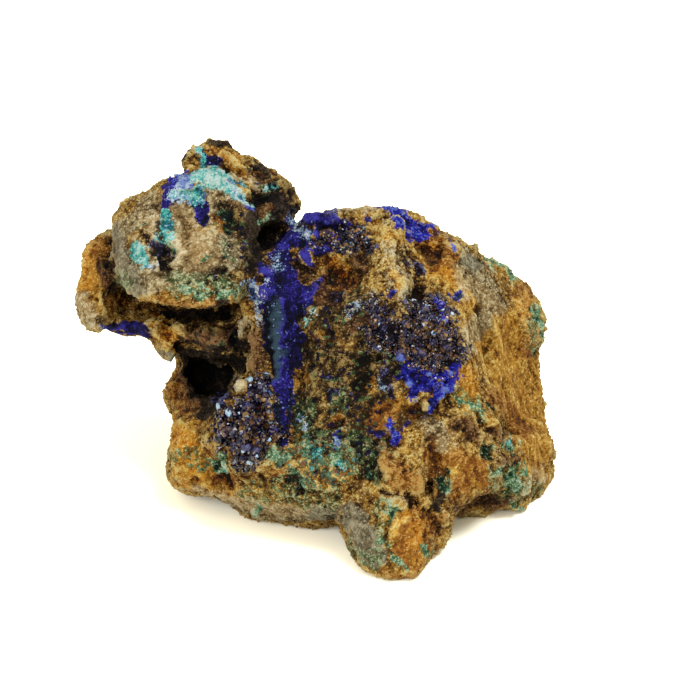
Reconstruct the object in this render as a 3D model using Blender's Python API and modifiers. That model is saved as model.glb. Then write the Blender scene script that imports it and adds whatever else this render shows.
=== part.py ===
"""Azurite specimen: a craggy block of iron-stained matrix with crusts of azurite and malachite.

The rock is laid out as the eye sees it, from SIGHT_TILT above the table: millimetres across, up the
picture and out towards the eye. SIGHT turns such a place into the rock's own frame, in metres,
where +Z is up and -Y faces the eye. The hidden back is laid out in the same way.
"""

from math import cos, radians, sin, tau
from random import Random

import bmesh
import bpy
from mathutils import Matrix, Vector, noise
from mathutils.bvhtree import BVHTree

# Driving dimensions.
MM = 0.001
SIGHT_TILT = radians(30)
TABLE_DROP = 14.5  # from the middle of the layout down to the table, in millimetres
CELL = 0.5 * MM  # voxel in which the lumps grow together
GAP = 0.3 * MM  # between a crust and the matrix that carries it
MATRIX_FACES = 5100
SKIN_DEPTH = 1.6  # how deep a knob sits in the skin, for each millimetre that it stands out
DENT_REACH = 3.2  # how far a dent's bowl reaches, for each millimetre that it goes in

ACROSS = Vector((1, 0, 0))
UP = Vector((0, sin(SIGHT_TILT), cos(SIGHT_TILT)))
OUT = Vector((0, -cos(SIGHT_TILT), sin(SIGHT_TILT)))
SIGHT = (
    Matrix.Translation((0, 0, TABLE_DROP * MM))
    @ Matrix((ACROSS, UP, OUT)).transposed().to_4x4()
    @ Matrix.Scale(MM, 4)
)

# Corners of the lumps, each (across, up, out). A lump is the hull of its corners.
LUMPS = {
    "body": (
        (-4, 13.8, 3.5), (0, 14.0, 3.5), (4.8, 14.6, 3), (6, 14.2, 3), (8.7, 12.2, 2),
        (12, 10.2, -1), (13.5, 9, -2), (17.5, 7.4, -4), (18.7, 6, -6), (19, 0, -6),
        (19, -4, -7), (19.8, -8, -7), (-6.8, 11.5, 4), (-7, 6, 6.5), (-7, -2, 8.5),
        (-7, -9, 8.5), (3, 8, 8.5), (9.5, 9, 4), (10.5, 4, 7.5), (11.5, -2, 8.5),
        (11.5, -6, 8.5), (2, 0, 10.5), (0, -8, 10.5), (6, -8, 10.5), (-6, -13, 6),
        (10, -12, 6), (-6, 9, -8), (6, 11, -7), (15, 6, -11), (17.5, -3, -14.5),
        (-6, -2, -14), (-7, -6, -18), (17, -6, -17),
    ),
    "backing": (
        (-17.5, 12, -3), (-6, 13, -1), (-5, 12, 2), (-6, 3, 2), (-17, 3, -2), (-17.6, -1, -4), (-17.9, -2.2, -5),
        (-16.8, -5, -3), (-6, -5, 1), (-17, 8, -8), (-6, 8, -10), (-6, -3, -14), (-15, -4, -12),
    ),
    "head": (
        (-23.8, 13.2, 3), (-22.5, 14.5, 3), (-23.7, 8, 5), (-23.2, 6.5, 5), (-21, 4.8, 8),
        (-21.5, 12, 7), (-19.5, 16.5, 4), (-17.5, 17.8, 4), (-14.5, 18, 5), (-10, 15.8, 6),
        (-19.5, 4.2, 9.5), (-13.5, 4, 10), (-11, 5, 9), (-10, 9, 8.5), (-9, 12, 6),
        (-20, 14, -4), (-22, 7, -3), (-10, 14, -4), (-10, 6, -4),
    ),
    "crown": (
        (-17.6, 19.1, 2), (-16, 20.4, 0), (-14, 21.4, -1), (-12, 20.9, -1), (-10, 19.4, -1),
        (-8.3, 18.3, -1), (-6, 17.3, -1), (-5, 15.8, 0), (-4.5, 15, 0), (-6, 13, 3),
        (-9, 12.5, 5), (-15, 17, 4), (-14, 16, -6), (-6, 13, -6), (-12, 12, -6),
    ),
    "ear": (
        (-25, 12.3, -1), (-26, 10.9, -1), (-26.8, 9.6, 0), (-27.3, 7.5, 0), (-27.5, 5, 1),
        (-27.4, 2.2, 1), (-25, 1.3, 1), (-24.5, 3, 4), (-24.5, 5.5, 4), (-24, 9, 3),
        (-23.5, 12.8, 1), (-24, 10, -6), (-25, 4, -5), (-22, 6, -7),
    ),
    "nape": (
        (-24, 11, -2), (-24, 5, -2), (-17, 13, -3), (-16, 3, -3), (-24, 8, -7), (-20, 4, -8),
        (-14, 12, -9), (-13, 3, -11),
    ),
    "tongue": (
        (-25, 1.5, 0), (-23, 1.8, -1), (-21.2, 2.1, -2), (-20.4, 1.6, -2), (-19, 3.2, 1),
        (-24, 3.4, 0), (-20, 3, -8), (-23, 4, -6), (-18, 4, -6),
    ),
    "nose": (
        (-21, 1.9, -1), (-20, 0.6, -1.5), (-18.6, -0.9, -1), (-17.5, -0.8, 0), (-17.5, 3, 2),
        (-20, 3.2, 0.5), (-19, 2.5, -7), (-15, 0, -8), (-14, 3, 1),
    ),
    "shelf": (
        (-18, 2.6, 2.5), (-17, 1.2, 2.5), (-15.5, 0.5, 2.5), (-13, -0.5, 3.5), (-11, -0.3, 4),
        (-10, 2, 5), (-12, 2.6, 4), (-16, 0, -8), (-9, 0, -8), (-9, 4, -8), (-18, 4, -6),
    ),
    "column": (
        (-10.6, 9, 5), (-8, 10.5, 5), (-6, 10, 5), (-10.6, 4, 6.5), (-7, 4, 8), (-10, -2, 6),
        (-7, -2, 8.5), (-9, -6, 7), (-6, 8, -4), (-9, 0, -6), (-10, 8, -2),
    ),
    "lip": (
        (-19.3, -3.7, -4), (-18.3, -2.7, -5), (-17.6, -1.8, -6), (-17.4, -6, -1), (-14, -6.6, 2), (-12, -6, 3),
        (-17.2, -8, 0), (-15, -4, -13), (-17.4, -6, -11), (-8, -4, -13), (-17, -3.4, -9),
    ),
    "slab": (
        (-17.3, -6.2, 0), (-17.4, -8, 1.5), (-17.9, -10.5, 2), (-18.5, -12.8, 1),
        (-18.7, -13.5, -1), (-18, -14.3, -4), (-16, -14.7, 0), (-10, -15, 4.5),
        (-14, -6.8, 3.5), (-10, -6, 6), (-6, -6, 6), (-17, -8, -12), (-6, -5, -13),
        (-4, -14.5, 6),
    ),
    "bulge": (
        (-13.2, -5, 4.5), (-10, -2.5, 6), (-7, -2, 8), (-6.5, -11.5, 9.5), (-12.5, -11.5, 7.5),
        (-15, -9, 4.5), (-9, -8, 8.5), (-8, -4, -2), (-12, -10, -2),
    ),
    "apron": (
        (-12, -12, 6), (-10.5, -15, 5), (-3, -16, 8), (0, -15, 10.5), (-5, -9, 10), (5, -8, 11),
        (4, -16, 11), (-3, -12, 10.5), (-10.8, -16.8, 0), (-9, -17.5, 0), (-2.5, -17.3, 2),
        (-8, -10, -6), (4, -10, -6), (-12.5, -15.6, 0),
    ),
    "foot": (
        (4.5, -14.5, 13), (4, -22.7, 11), (1.2, -22, 9.6), (6, -22.5, 11), (7.3, -21.8, 9.6),
        (-1.4, -18, 5), (0, -20.8, 7.2), (10.7, -16.8, 6), (9.6, -19.5, 7), (8.6, -20.8, 8),
        (2, -14, 2), (9, -14, 3), (9, -15, 10), (0, -14, 10), (1.8, -21.3, 6.6),
        (5.6, -21.6, 7), (8, -20.4, 5.4), (0.4, -20, 5),
    ),
    "wedge": (
        (3.5, -10, 12), (7, -8.4, 11), (8, -14, 12), (6, -15, 12.6), (3, -13.5, 12.8),
        (5, -11, 5), (0.5, -14, 9),
    ),
    "knee": (
        (5, -7, 10.6), (9, -6, 10), (13.5, -5.2, 7.5), (15, -7, 6.5), (14.6, -12, 7.6),
        (15, -14, 5.6), (10.4, -16, 8), (9, -14, 10.5), (12, -11, 10), (10, -9, 0),
        (14, -12, 0), (9.2, -15.5, 2),
    ),
    "skirt": (
        (14.5, -9, 5.5), (18, -9, 2.5), (20.4, -9, -3), (20.8, -11.2, -4), (20.4, -13.3, -5),
        (19.5, -14.7, -3.5), (18, -16, -1.4), (17.5, -16.5, -0.6), (16, -16.4, 0.5),
        (14, -14.6, 4), (17, -7, -12), (14, -9, -6), (17.6, -8, -14), (19.4, -6, -7),
    ),
    "sole": (
        (10.4, -16.9, 1), (12, -16.9, 0.5), (15, -16.2, -0.5), (17.3, -16.3, -1.2),
        (10, -12, -4), (17, -12, -6), (10, -13, 4), (15, -13, 2),
    ),
    "rim": (
        (17, 7.9, -4), (18.3, 7.2, -5), (19.1, 5, -5), (19.7, 3, -5), (19.8, 1, -5),
        (19.2, -0.3, -5), (16.4, 4, -0.5), (17, 1, -0.5), (16, 5, -11), (17, 1, -12),
    ),
    "heel": (
        (-12, -8, -17), (12, -8.5, -17), (-15, -10, -8), (15, -10, -8), (-12, -3, -14),
        (12, 0, -14), (0, 4, -13.5), (0, -6.5, -18.5), (10, -17, 0), (14, -16.6, 0),
    ),
}

# Hollows cut out of them, given the same way.
HOLLOWS = {
    "cleft": (
        (-4.4, 15, 8), (-5.4, 13, 9), (-7, 12.4, 9), (-9.4, 11.4, 9), (-9.8, 8.8, 9),
        (-7.6, 9, 9), (-4.8, 13.6, 2.5), (-8.6, 10.6, 1.5), (-7.5, 12, 1.5),
    ),
    "cave": (
        (-17.4, -0.9, 9), (-10.4, -0.8, 9), (-10.2, -4, 9), (-13, -6, 9), (-16.4, -6, 9),
        (-17.4, -2.5, 9), (-16, -1.6, -6.5), (-11.4, -1.4, -6.5), (-12, -4.2, -5.5),
        (-15.2, -4.6, -6),
    ),
    "slit": (
        (-21, 3.9, 12), (-12.4, 3.8, 12), (-12.4, 2.9, 12), (-20, 2.9, 12), (-20, 3.6, 0),
        (-12.6, 3.4, 1), (-12.6, 2.6, 1), (-20, 2.6, 0),
    ),
}

# Swellings and dents on the visible skin: across, up, half width, half height, turn in degrees,
# and how far the swelling stands out or the dent goes in.
KNOBS = {
    "crumb on the crown": (-12.7, 20.3, 1.1, 0.7, -20, 0.8),
    "ledge under the crown": (-11.2, 18.4, 2.8, 0.8, -35, 1.0),
    "second ledge": (-10.2, 16.6, 2.6, 0.7, -20, 0.8),
    "crumbly corner": (-7.4, 16.4, 1.5, 1.3, 0, 0.8),
    "brow": (-16, 15.5, 3.4, 2.0, 10, 0.5),
    "jaw": (-15.5, 6.2, 4.6, 1.6, 0, 0.6),
    "cheek": (-13.6, 10, 2.4, 2.6, 0, 0.6),
    "nose": (-18.8, 1.6, 1.2, 1.6, 30, 1.3),
    "nose tip": (-18.2, -0.4, 0.9, 0.8, 0, 0.8),
    "knuckle": (-17.1, 2.1, 1.1, 0.9, 0, 1.2),
    "big knuckle": (-13.4, 1.1, 2.0, 1.5, 10, 1.5),
    "pea": (-11, 2.8, 0.7, 0.9, 0, 1.6),
    "blue boss": (-8.9, 6.9, 1.5, 2.4, 10, 1.1),
    "chest": (-9.4, 1, 1.1, 3.2, 5, 0.7),
    "rib": (3.2, 9.4, 1.5, 5.2, -22, 1.0),
    "rib foot": (4.9, 4.4, 1.3, 2.8, -8, 0.9),
    "shoulder": (9.5, 10, 2.0, 1.6, -35, 0.9),
    "crust front": (6.5, -0.4, 3.6, 4.2, 10, 1.1),
    "crust edge": (9.8, 1.5, 1.8, 3.4, -10, 0.8),
    "belly": (-1.5, -3.5, 3.2, 4.2, 0, 0.7),
    "left crust": (-10.6, -6.5, 3.0, 3.2, 30, 0.8),
    "green crust": (-6.6, -11, 2.6, 1.4, 10, 0.8),
    "green corner": (16.5, -12.5, 2.0, 2.8, 10, 0.6),
    "pearl": (8.2, -15.1, 1.0, 0.9, 0, 0.9),
}
DENTS = {
    "orange hollow": (-1.2, 7.4, 2.6, 1.9, -15, 1.5),
    "band groove": (-5.4, 3.5, 1.5, 6.5, 3, 1.1),
    "band tail": (-5.6, -6, 0.9, 4.5, 0, 0.7),
    "valley": (6.6, 6.5, 0.9, 2.6, -10, 0.9),
    "side pocket": (8.2, 10.2, 1.6, 1.2, 0, 0.8),
    "rust pocket": (8.0, 0.4, 1.0, 1.2, 0, 0.9),
    "cheek groove": (-18.4, 10.6, 0.9, 3.2, 8, 0.9),
    "brow pit": (-14.2, 19.0, 0.9, 0.7, 0, 0.9),
    "red pit": (-9.0, 17.5, 1.0, 0.6, -20, 0.9),
    "under jaw": (-12.2, 4.3, 1.3, 1.3, 0, 1.8),
    "crevice": (8.6, -11.6, 0.75, 3.4, 15, 2.0),
    "knee notch": (14.1, -10.2, 0.9, 1.4, 20, 1.2),
    "foot pocket": (5.4, -16.6, 1.4, 0.8, 20, 0.5),
    "flank hollow": (14.5, 0.5, 3.2, 3.8, 10, 0.45),
    "flank hollow low": (16, -5.5, 2.6, 2.6, 0, 0.4),
}
# The craggy relief of the skin: size of its grain, how far it moves the surface, and how much more
# it does so on the hidden side.
RELIEF = ((8.0 * MM, 0.6 * MM, 2.0), (3.0 * MM, 0.35 * MM, 1.3))
SWELL = 0.12 * MM  # gives back what the cells round off

# Crusts that line or cover the skin: outline as across and up, thickness, and what grows on it.
CRUSTS = {
    "azurite_druse_hollow": {
        "outline": (
            (-11.2, -3.3), (-9.2, -2.6), (-7.7, -4.6), (-7.2, -8), (-7.6, -10.8), (-9.4, -12.3),
            (-11.9, -12), (-13.4, -9.8), (-13, -6.8),
        ),
        "thickness": 2.2,
        "crystals": 34,
        "seed": 4,
    },
    "azurite_druse_flank": {
        "outline": (
            (1.6, 1.6), (2.8, 3.6), (5.4, 4.9), (8.6, 5.3), (10.6, 3), (11.4, 0), (11, -3),
            (9, -5.6), (6.6, -6), (3.6, -4.4), (1.8, -1.6),
        ),
        "thickness": 2.2,
        "crystals": 44,
        "seed": 9,
    },
    "azurite_druse_shoulder": {
        "outline": (
            (-4.6, 12.9), (-1.6, 13.6), (2, 12.8), (2.2, 10.2), (-1, 8.9), (-4.2, 9.3),
        ),
        "thickness": 2.0,
        "crystals": 18,
        "seed": 6,
    },
    "malachite_crust": {
        "outline": (
            (-5.9, -9.3), (-2.5, -8.4), (0.4, -9), (1, -11.8), (-1.5, -13.9), (-5, -13.4),
            (-6.4, -11.6),
        ),
        "thickness": 2.0,
        "nodules": 22,
        "seed": 3,
    },
}
COLOURS = {
    "matrix": ((0.24, 0.15, 0.06), 0.85),
    "azurite": ((0.015, 0.02, 0.16), 0.45),
    "malachite": ((0.12, 0.33, 0.19), 0.7),
}
CRYSTAL_WIDTH = (0.5, 1.0)  # least and most half width, in millimetres
CRYSTAL_LENGTH = (1.0, 1.7)
NODULE_WIDTH = (0.6, 1.1)
SPACING = 1.15  # between neighbours on a crust


def clear_scene():
    for obj in list(bpy.data.objects):
        bpy.data.objects.remove(obj, do_unlink=True)


def new_object(name, bm, collection):
    """Links the bmesh as an object and frees it."""
    mesh = bpy.data.meshes.new(name)
    bm.to_mesh(mesh)
    bm.free()
    obj = bpy.data.objects.new(name, mesh)
    collection.objects.link(obj)
    return obj


def hull(name, corners, collection):
    """The hull of some places in the layout."""
    bm = bmesh.new()
    for corner in corners:
        bm.verts.new(SIGHT @ Vector(corner))
    made = bmesh.ops.convex_hull(bm, input=bm.verts)
    inside = [v for v in made["geom_interior"] if isinstance(v, bmesh.types.BMVert)]
    bmesh.ops.delete(bm, geom=inside, context="VERTS")
    bmesh.ops.recalc_face_normals(bm, faces=bm.faces)
    return new_object(name, bm, collection)


def settle(obj):
    """Applies the object's modifiers."""
    graph = bpy.context.evaluated_depsgraph_get()
    mesh = bpy.data.meshes.new_from_object(obj.evaluated_get(graph))
    obj.modifiers.clear()
    obj.data = mesh


def boolean(obj, other, operation):
    modifier = obj.modifiers.new(operation.title(), "BOOLEAN")
    modifier.operation = operation
    modifier.object = other
    settle(obj)


def grow_together(name, pieces, collection):
    """Joins the pieces in one skin of even cells."""
    bm = bmesh.new()
    for piece in pieces:
        bm.from_mesh(piece.data)
    rock = new_object(name, bm, collection)
    remesh = rock.modifiers.new("Grow together", "REMESH")
    remesh.mode = "VOXEL"
    remesh.voxel_size = CELL
    settle(rock)
    return rock


def skin_of(obj):
    bm = bmesh.new()
    bm.from_mesh(obj.data)
    skin = BVHTree.FromBMesh(bm)
    bm.free()
    return skin


def dropped(skin, across, up):
    """Where the line of sight at that place first meets the skin."""
    eye = SIGHT @ Vector((across, up, 100))
    place, normal, _, _ = skin.ray_cast(eye, -OUT)
    return place, normal


def blister(name, skin, form, inward, collection):
    """An ellipsoid on the skin, as a swelling or, turned inward, as a dent."""
    across, up, half_width, half_height, turn, reach = form
    place, _ = dropped(skin, across, up)
    depth = reach * (DENT_REACH if inward else SKIN_DEPTH)
    shift = (depth - reach) * (1 if inward else -1)
    spread = 1.35 if inward else 1.0
    size = Matrix.Diagonal((half_width * spread, half_height * spread, depth, 1))
    size = Matrix.Scale(MM, 4) @ size
    facing = Matrix((ACROSS, UP, OUT)).transposed().to_4x4()
    bm = bmesh.new()
    bmesh.ops.create_icosphere(
        bm,
        subdivisions=2,
        radius=1,
        matrix=Matrix.Translation(place + OUT * shift * MM)
        @ facing
        @ Matrix.Rotation(radians(turn), 4, "Z")
        @ size,
    )
    return new_object(name, bm, collection)


def roughen(obj):
    """Gives the skin its craggy relief."""
    bm = bmesh.new()
    bm.from_mesh(obj.data)
    bm.normal_update()
    moves = []
    for vert in bm.verts:
        move = SWELL
        hidden = min(1, max(0, -0.2 - vert.normal.dot(OUT)) * 2)
        for grain, height, more in RELIEF:
            place = vert.co / grain
            crag = noise.turbulence(place, 3, True, noise_basis="PERLIN_NEW") - 0.45
            chip = noise.voronoi(place * 1.3)[0]
            rise = 1.2 * crag + 0.9 * (chip[1] - chip[0]) - 0.15
            move += height * (1 + (more - 1) * hidden) * rise
        moves.append(vert.normal * move)
    for vert, move in zip(bm.verts, moves):
        vert.co += move
    bm.to_mesh(obj.data)
    bm.free()


def stand_on_table(obj, collection):
    """Cuts the rock off flat where it meets the table."""
    bm = bmesh.new()
    bmesh.ops.create_cube(bm, size=0.1, matrix=Matrix.Translation((0, 0, -0.05)))
    table = new_object("table", bm, collection)
    boolean(obj, table, "DIFFERENCE")


def thin_out(obj, faces):
    """Lowers the face count, keeping the form."""
    decimate = obj.modifiers.new("Thin out", "DECIMATE")
    triangles = sum(len(face.vertices) - 2 for face in obj.data.polygons)
    decimate.ratio = min(1.0, faces / triangles)
    decimate.use_collapse_triangulate = True
    settle(obj)


def matrix_rock(specimen, helpers):
    """The iron-stained rock that carries the crusts."""
    lumps = [hull(f"lump {name}", corners, helpers) for name, corners in LUMPS.items()]
    core = grow_together("core", lumps, helpers)
    for name, corners in HOLLOWS.items():
        boolean(core, hull(f"hollow {name}", corners, helpers), "DIFFERENCE")
    skin = skin_of(core)
    knobs = [blister(f"knob {n}", skin, form, False, helpers) for n, form in KNOBS.items()]
    rock = grow_together("matrix", [core, *knobs], specimen)
    dents = [blister(f"dent {n}", skin, form, True, helpers) for n, form in DENTS.items()]
    boolean(rock, grow_together("dents", dents, helpers), "DIFFERENCE")
    roughen(rock)
    rock = grow_together("matrix rock", [rock], specimen)
    bpy.data.objects.remove(bpy.data.objects["matrix"])
    rock.name = "matrix"
    thin_out(rock, MATRIX_FACES)
    stand_on_table(rock, helpers)
    return rock


def depth_of(place):
    """How far out a place lies towards the eye, in millimetres of the layout."""
    return (SIGHT.inverted() @ place).z


def patch(name, skin, form, margin, collection):
    """The block that bounds a crust: open towards the eye, and closed below the skin."""
    outline = form["outline"]
    middle = Vector((sum(u for u, _ in outline), sum(v for _, v in outline))) / len(outline)
    corners = []
    for point in outline:
        place, _ = dropped(skin, *(Vector(point).lerp(middle, 0.12)))
        across, up = Vector(point) + (Vector(point) - middle).normalized() * margin
        corners.append((across, up, depth_of(place) - form["thickness"] - margin))
        corners.append((across, up, 25))
    return hull(name, corners, collection)


def inside(outline, across, up):
    """Whether a place lies within an outline that has no hollows."""
    signs = set()
    for (u0, v0), (u1, v1) in zip(outline, outline[1:] + outline[:1]):
        signs.add((u1 - u0) * (up - v0) - (v1 - v0) * (across - u0) > 0)
    return len(signs) == 1


def scattered(skin, form, count, chance):
    """Evenly spread places and directions on the skin inside an outline."""
    outline = form["outline"]
    us = [u for u, _ in outline]
    vs = [v for _, v in outline]
    found = []
    for _ in range(4000):
        across = chance.uniform(min(us), max(us))
        up = chance.uniform(min(vs), max(vs))
        if not inside(outline, across, up):
            continue
        place, normal = dropped(skin, across, up)
        if all((place - other).length > SPACING * MM for other, _ in found):
            found.append((place, normal))
        if len(found) == count:
            break
    return found


def crystal(place, direction, chance):
    """One blade with flat faces and a bevelled tip."""
    bm = bmesh.new()
    width = chance.uniform(*CRYSTAL_WIDTH) * MM
    length = chance.uniform(*CRYSTAL_LENGTH) * MM
    lean = Vector([chance.uniform(-0.55, 0.55) for _ in range(3)])
    along = (direction.lerp(OUT, 0.15) + lean).normalized()
    bmesh.ops.create_cone(
        bm,
        cap_ends=True,
        segments=chance.choice((4, 5, 6)),
        radius1=width,
        radius2=width * chance.uniform(0.35, 0.7),
        depth=length,
        matrix=Matrix.Translation(place + along * length * 0.15)
        @ along.to_track_quat("Z", "X").to_matrix().to_4x4()
        @ Matrix.Rotation(chance.uniform(0, tau), 4, "Z")
        @ Matrix.Diagonal((1, chance.uniform(0.5, 0.9), 1, 1)),
    )
    return bm


def nodule(place, direction, chance):
    """One flattened pea of malachite."""
    bm = bmesh.new()
    width = chance.uniform(*NODULE_WIDTH) * MM
    bmesh.ops.create_icosphere(
        bm,
        subdivisions=1,
        radius=width,
        matrix=Matrix.Translation(place)
        @ direction.to_track_quat("Z", "X").to_matrix().to_4x4()
        @ Matrix.Rotation(chance.uniform(0, tau), 4, "Z")
        @ Matrix.Diagonal((1, chance.uniform(0.7, 1), 0.65, 1)),
    )
    return bm


def crust(name, form, rock, skin, specimen, helpers):
    """Lifts a crust off the rock, grows its crystals or nodules on it and clears the rock below."""
    chance = Random(form["seed"])
    grown = bpy.data.collections.new(f"growth of {name}")
    bpy.context.scene.collection.children.link(grown)
    make = crystal if "crystals" in form else nodule
    count = form.get("crystals") or form["nodules"]
    for i, (place, normal) in enumerate(scattered(skin, form, count, chance)):
        piece = new_object(f"{name} growth {i}", make(place, normal, chance), grown)
        piece.hide_render = True
    bed = bpy.data.objects.new(name, rock.data.copy())
    specimen.objects.link(bed)
    block = patch(f"block {name}", skin, form, 0, helpers)
    join = bed.modifiers.new("Grow", "BOOLEAN")
    join.operation = "UNION"
    join.operand_type = "COLLECTION"
    join.collection = grown
    settle(bed)
    boolean(bed, block, "INTERSECT")
    return bed


def make_room(rock, skin, form, helpers):
    """Takes the crust's bed out of the rock, with a gap round it."""
    block = patch("bed of a crust", skin, form, GAP / MM, helpers)
    boolean(rock, block, "DIFFERENCE")


def recentre(nodes):
    """Puts the origin under the middle of the specimen's box, and returns the move."""
    corners = [vert.co for node in nodes for vert in node.data.vertices]
    low = Vector([min(corner[i] for corner in corners) for i in range(3)])
    high = Vector([max(corner[i] for corner in corners) for i in range(3)])
    shift = -Vector(((low.x + high.x) / 2, (low.y + high.y) / 2, low.z))
    for node in nodes:
        node.data.transform(Matrix.Translation(shift))
    return shift


def paint(node, colour, roughness):
    """Gives the node its own plain material."""
    material = bpy.data.materials.new(node.name)
    material.use_nodes = True
    shader = material.node_tree.nodes["Principled BSDF"]
    shader.inputs["Base Color"].default_value = (*colour, 1)
    shader.inputs["Roughness"].default_value = roughness
    node.data.materials.clear()
    node.data.materials.append(material)


def main():
    clear_scene()
    specimen = bpy.data.collections.new("Azurite specimen")
    helpers = bpy.data.collections.new("Cutters")
    bpy.context.scene.collection.children.link(specimen)
    bpy.context.scene.collection.children.link(helpers)
    rock = matrix_rock(specimen, helpers)
    skin = skin_of(rock)
    nodes = [rock]
    for name, form in CRUSTS.items():
        nodes.append(crust(name, form, rock, skin, specimen, helpers))
    for form in CRUSTS.values():
        make_room(rock, skin, form, helpers)
    for helper in helpers.objects:
        helper.hide_render = True
        helper.display_type = "WIRE"
    for node in nodes:
        paint(node, *COLOURS[node.name.split("_")[0]])
    return recentre(nodes)


if __name__ == "__main__":
    main()
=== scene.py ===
"""The looks of an azurite specimen, laid out as an add-on.

The rock keeps the form of its solids, gets a craggy skin, and is stained by named strokes. A stroke
lies in the picture plane: millimetres across and up, as the eye sees the specimen from SIGHT_TILT,
with a radius. It lands on whatever the eye sees there, and fades out round the corner.
"""

from math import cos, radians, sin, tau

import bmesh
import bpy
import numpy as np
from bpy.props import FloatProperty, FloatVectorProperty, IntProperty, PointerProperty
from mathutils import Color, Matrix, Vector, noise
from mathutils.bvhtree import BVHTree
from mathutils.kdtree import KDTree


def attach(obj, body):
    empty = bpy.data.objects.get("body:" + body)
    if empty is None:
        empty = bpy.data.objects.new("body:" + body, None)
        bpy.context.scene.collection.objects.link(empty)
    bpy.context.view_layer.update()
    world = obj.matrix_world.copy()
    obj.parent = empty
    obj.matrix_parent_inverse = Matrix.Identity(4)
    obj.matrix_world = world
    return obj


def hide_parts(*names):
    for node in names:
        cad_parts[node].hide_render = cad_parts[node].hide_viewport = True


bl_info = {
    "name": "Azurite Specimen",
    "version": (1, 0, 0),
    "blender": (4, 5, 0),
    "location": "View3D > Sidebar > Specimen",
    "description": "Dresses a rock with azurite, malachite and iron stains",
    "category": "Object",
}

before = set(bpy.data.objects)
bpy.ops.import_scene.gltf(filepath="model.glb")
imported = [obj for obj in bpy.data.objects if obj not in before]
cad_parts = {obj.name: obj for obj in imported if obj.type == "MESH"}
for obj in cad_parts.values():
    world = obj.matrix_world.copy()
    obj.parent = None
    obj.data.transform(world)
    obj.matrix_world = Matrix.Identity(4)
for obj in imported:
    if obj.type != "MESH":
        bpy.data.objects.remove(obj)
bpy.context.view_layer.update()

MM = 0.001
SIGHT_TILT = radians(30)
LAYOUT_MIDDLE = Vector((3.4, 3.16, 14.5)) * MM  # where the eye looks, and the strokes' zero
ACROSS = Vector((1, 0, 0))
UP = Vector((0, sin(SIGHT_TILT), cos(SIGHT_TILT)))
OUT = Vector((0, -cos(SIGHT_TILT), sin(SIGHT_TILT)))
FAR_OUTSIDE = -3.0  # a field's value well away from its stain, in millimetres

# Every stroke is a chain of (across, up, radius), in millimetres, and a lone one is a round spot.

# Lumps grown into the rock, and how far their middles lie above its skin as a share of the radius.
LUMPS = (
    (0.3, ((-13.9, 20.8, 0.4), (-13.2, 20.9, 0.5), (-12.4, 20.8, 0.45), (-11.9, 20.2, 0.3))),
    (0.2, ((-17.2, 18.8, 0.35), (-16.8, 19.3, 0.3), (-16.1, 19.7, 0.4), (-15.6, 20.2, 0.35))),
    (0.2, ((-20.6, 16.2, 0.3), (-19.4, 17, 0.35), (-18.2, 17.9, 0.3))),
    (0.1, ((-13.8, 20, 0.7), (-12.6, 19.3, 0.8), (-11.4, 18.5, 0.8), (-10.4, 17.9, 0.6))),
    (0.1, ((-11.6, 17, 0.5), (-10.2, 16.6, 0.6), (-8.8, 16.1, 0.6))),
    (0.3, ((-9.8, 18.4, 0.4), (-9.2, 18.3, 0.35))), (0.2, ((-8.6, 17.6, 0.5), (-8.2, 17.3, 0.5))),
    (0.3, ((-7, 16.6, 0.5), (-6.4, 16, 0.45))), (0.3, ((-4.9, 14.9, 0.3), (-4.4, 14.6, 0.3))),
    (0.2, ((-2.4, 14.2, 0.3), (-1.8, 14.3, 0.35), (-1.2, 14.2, 0.3))),
    (0.3, ((-4.2, 13, 0.7), (-3.2, 13.1, 0.8), (-2.2, 13.2, 0.8), (-1.2, 13.3, 0.8),
           (-0.2, 13.3, 0.8), (0.8, 13.4, 0.8), (1.8, 13.4, 0.8), (2.6, 13.2, 0.7))),
    (0.2, ((-19.2, 1.6, 0.8), (-18.4, 0.8, 0.9), (-18.2, -0.2, 0.8), (-18, -1, 0.5))),
    (0.2, ((-18.8, 3.4, 0.4), (-19, 2.6, 0.5))),
    (0.1, ((-18.9, -3.8, 0.3), (-18.3, -3.7, 0.5), (-17.5, -3.6, 0.7))),
    (0.1, ((-26, 2.9, 0.5), (-25, 2.2, 0.5))), (0.2, ((-22.6, 2.4, 0.6),)),
    (0.2, ((-11, 3.2, 0.5), (-10.6, 2.6, 0.6), (-10.9, 1.8, 0.4))),
    (0.1, ((-14.6, 1.6, 0.9), (-13.2, 0.8, 1), (-12.2, 0.2, 0.8))),
    (0.2, ((-17, 2.2, 0.6), (-16.2, 1.6, 0.5))),
    (0.2, ((-11.4, -3.2, 0.6), (-10.8, -3.4, 0.6))),
    (0.2, ((-9.4, -15.9, 0.6), (-8.9, -16.4, 0.5))),
    (0.2, ((-13, -15.5, 0.4), (-12.6, -15.8, 0.3))),
    (0.2, ((-15.4, -14.6, 0.35),)), (0.2, ((-7.2, -16.7, 0.3), (-6.6, -16.8, 0.3))),
    (0.1, ((-4.3, 9.2, 1.0),)), (0.1, ((-8.5, 7.4, 1.1), (-8.3, 6, 1.2))),
    (0.1, ((9.2, 8.8, 0.5), (9.8, 8.7, 0.4))), (0.2, ((12.6, 10.4, 0.4), (13.2, 10, 0.3))),
    (0.1, ((13.4, -5, 0.5), (14.2, -6, 0.6), (14.4, -7.2, 0.5))),
    (0.1, ((13.9, -8.9, 0.4),)), (0.1, ((16.4, -15.8, 0.5), (17.3, -15.9, 0.45))),
    (0.2, ((7.4, -14.8, 0.5),)), (0.1, ((8.8, -16.2, 0.9), (9.2, -17, 0.7))),
    (0.5, ((7.9, -13.8, 0.9),)),
    (0.1, ((-1.9, -14.8, 0.5), (-1, -15.4, 0.4))), (0.1, ((-5.4, -14.2, 0.5), (-4.4, -14.4, 0.4))),
)

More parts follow.
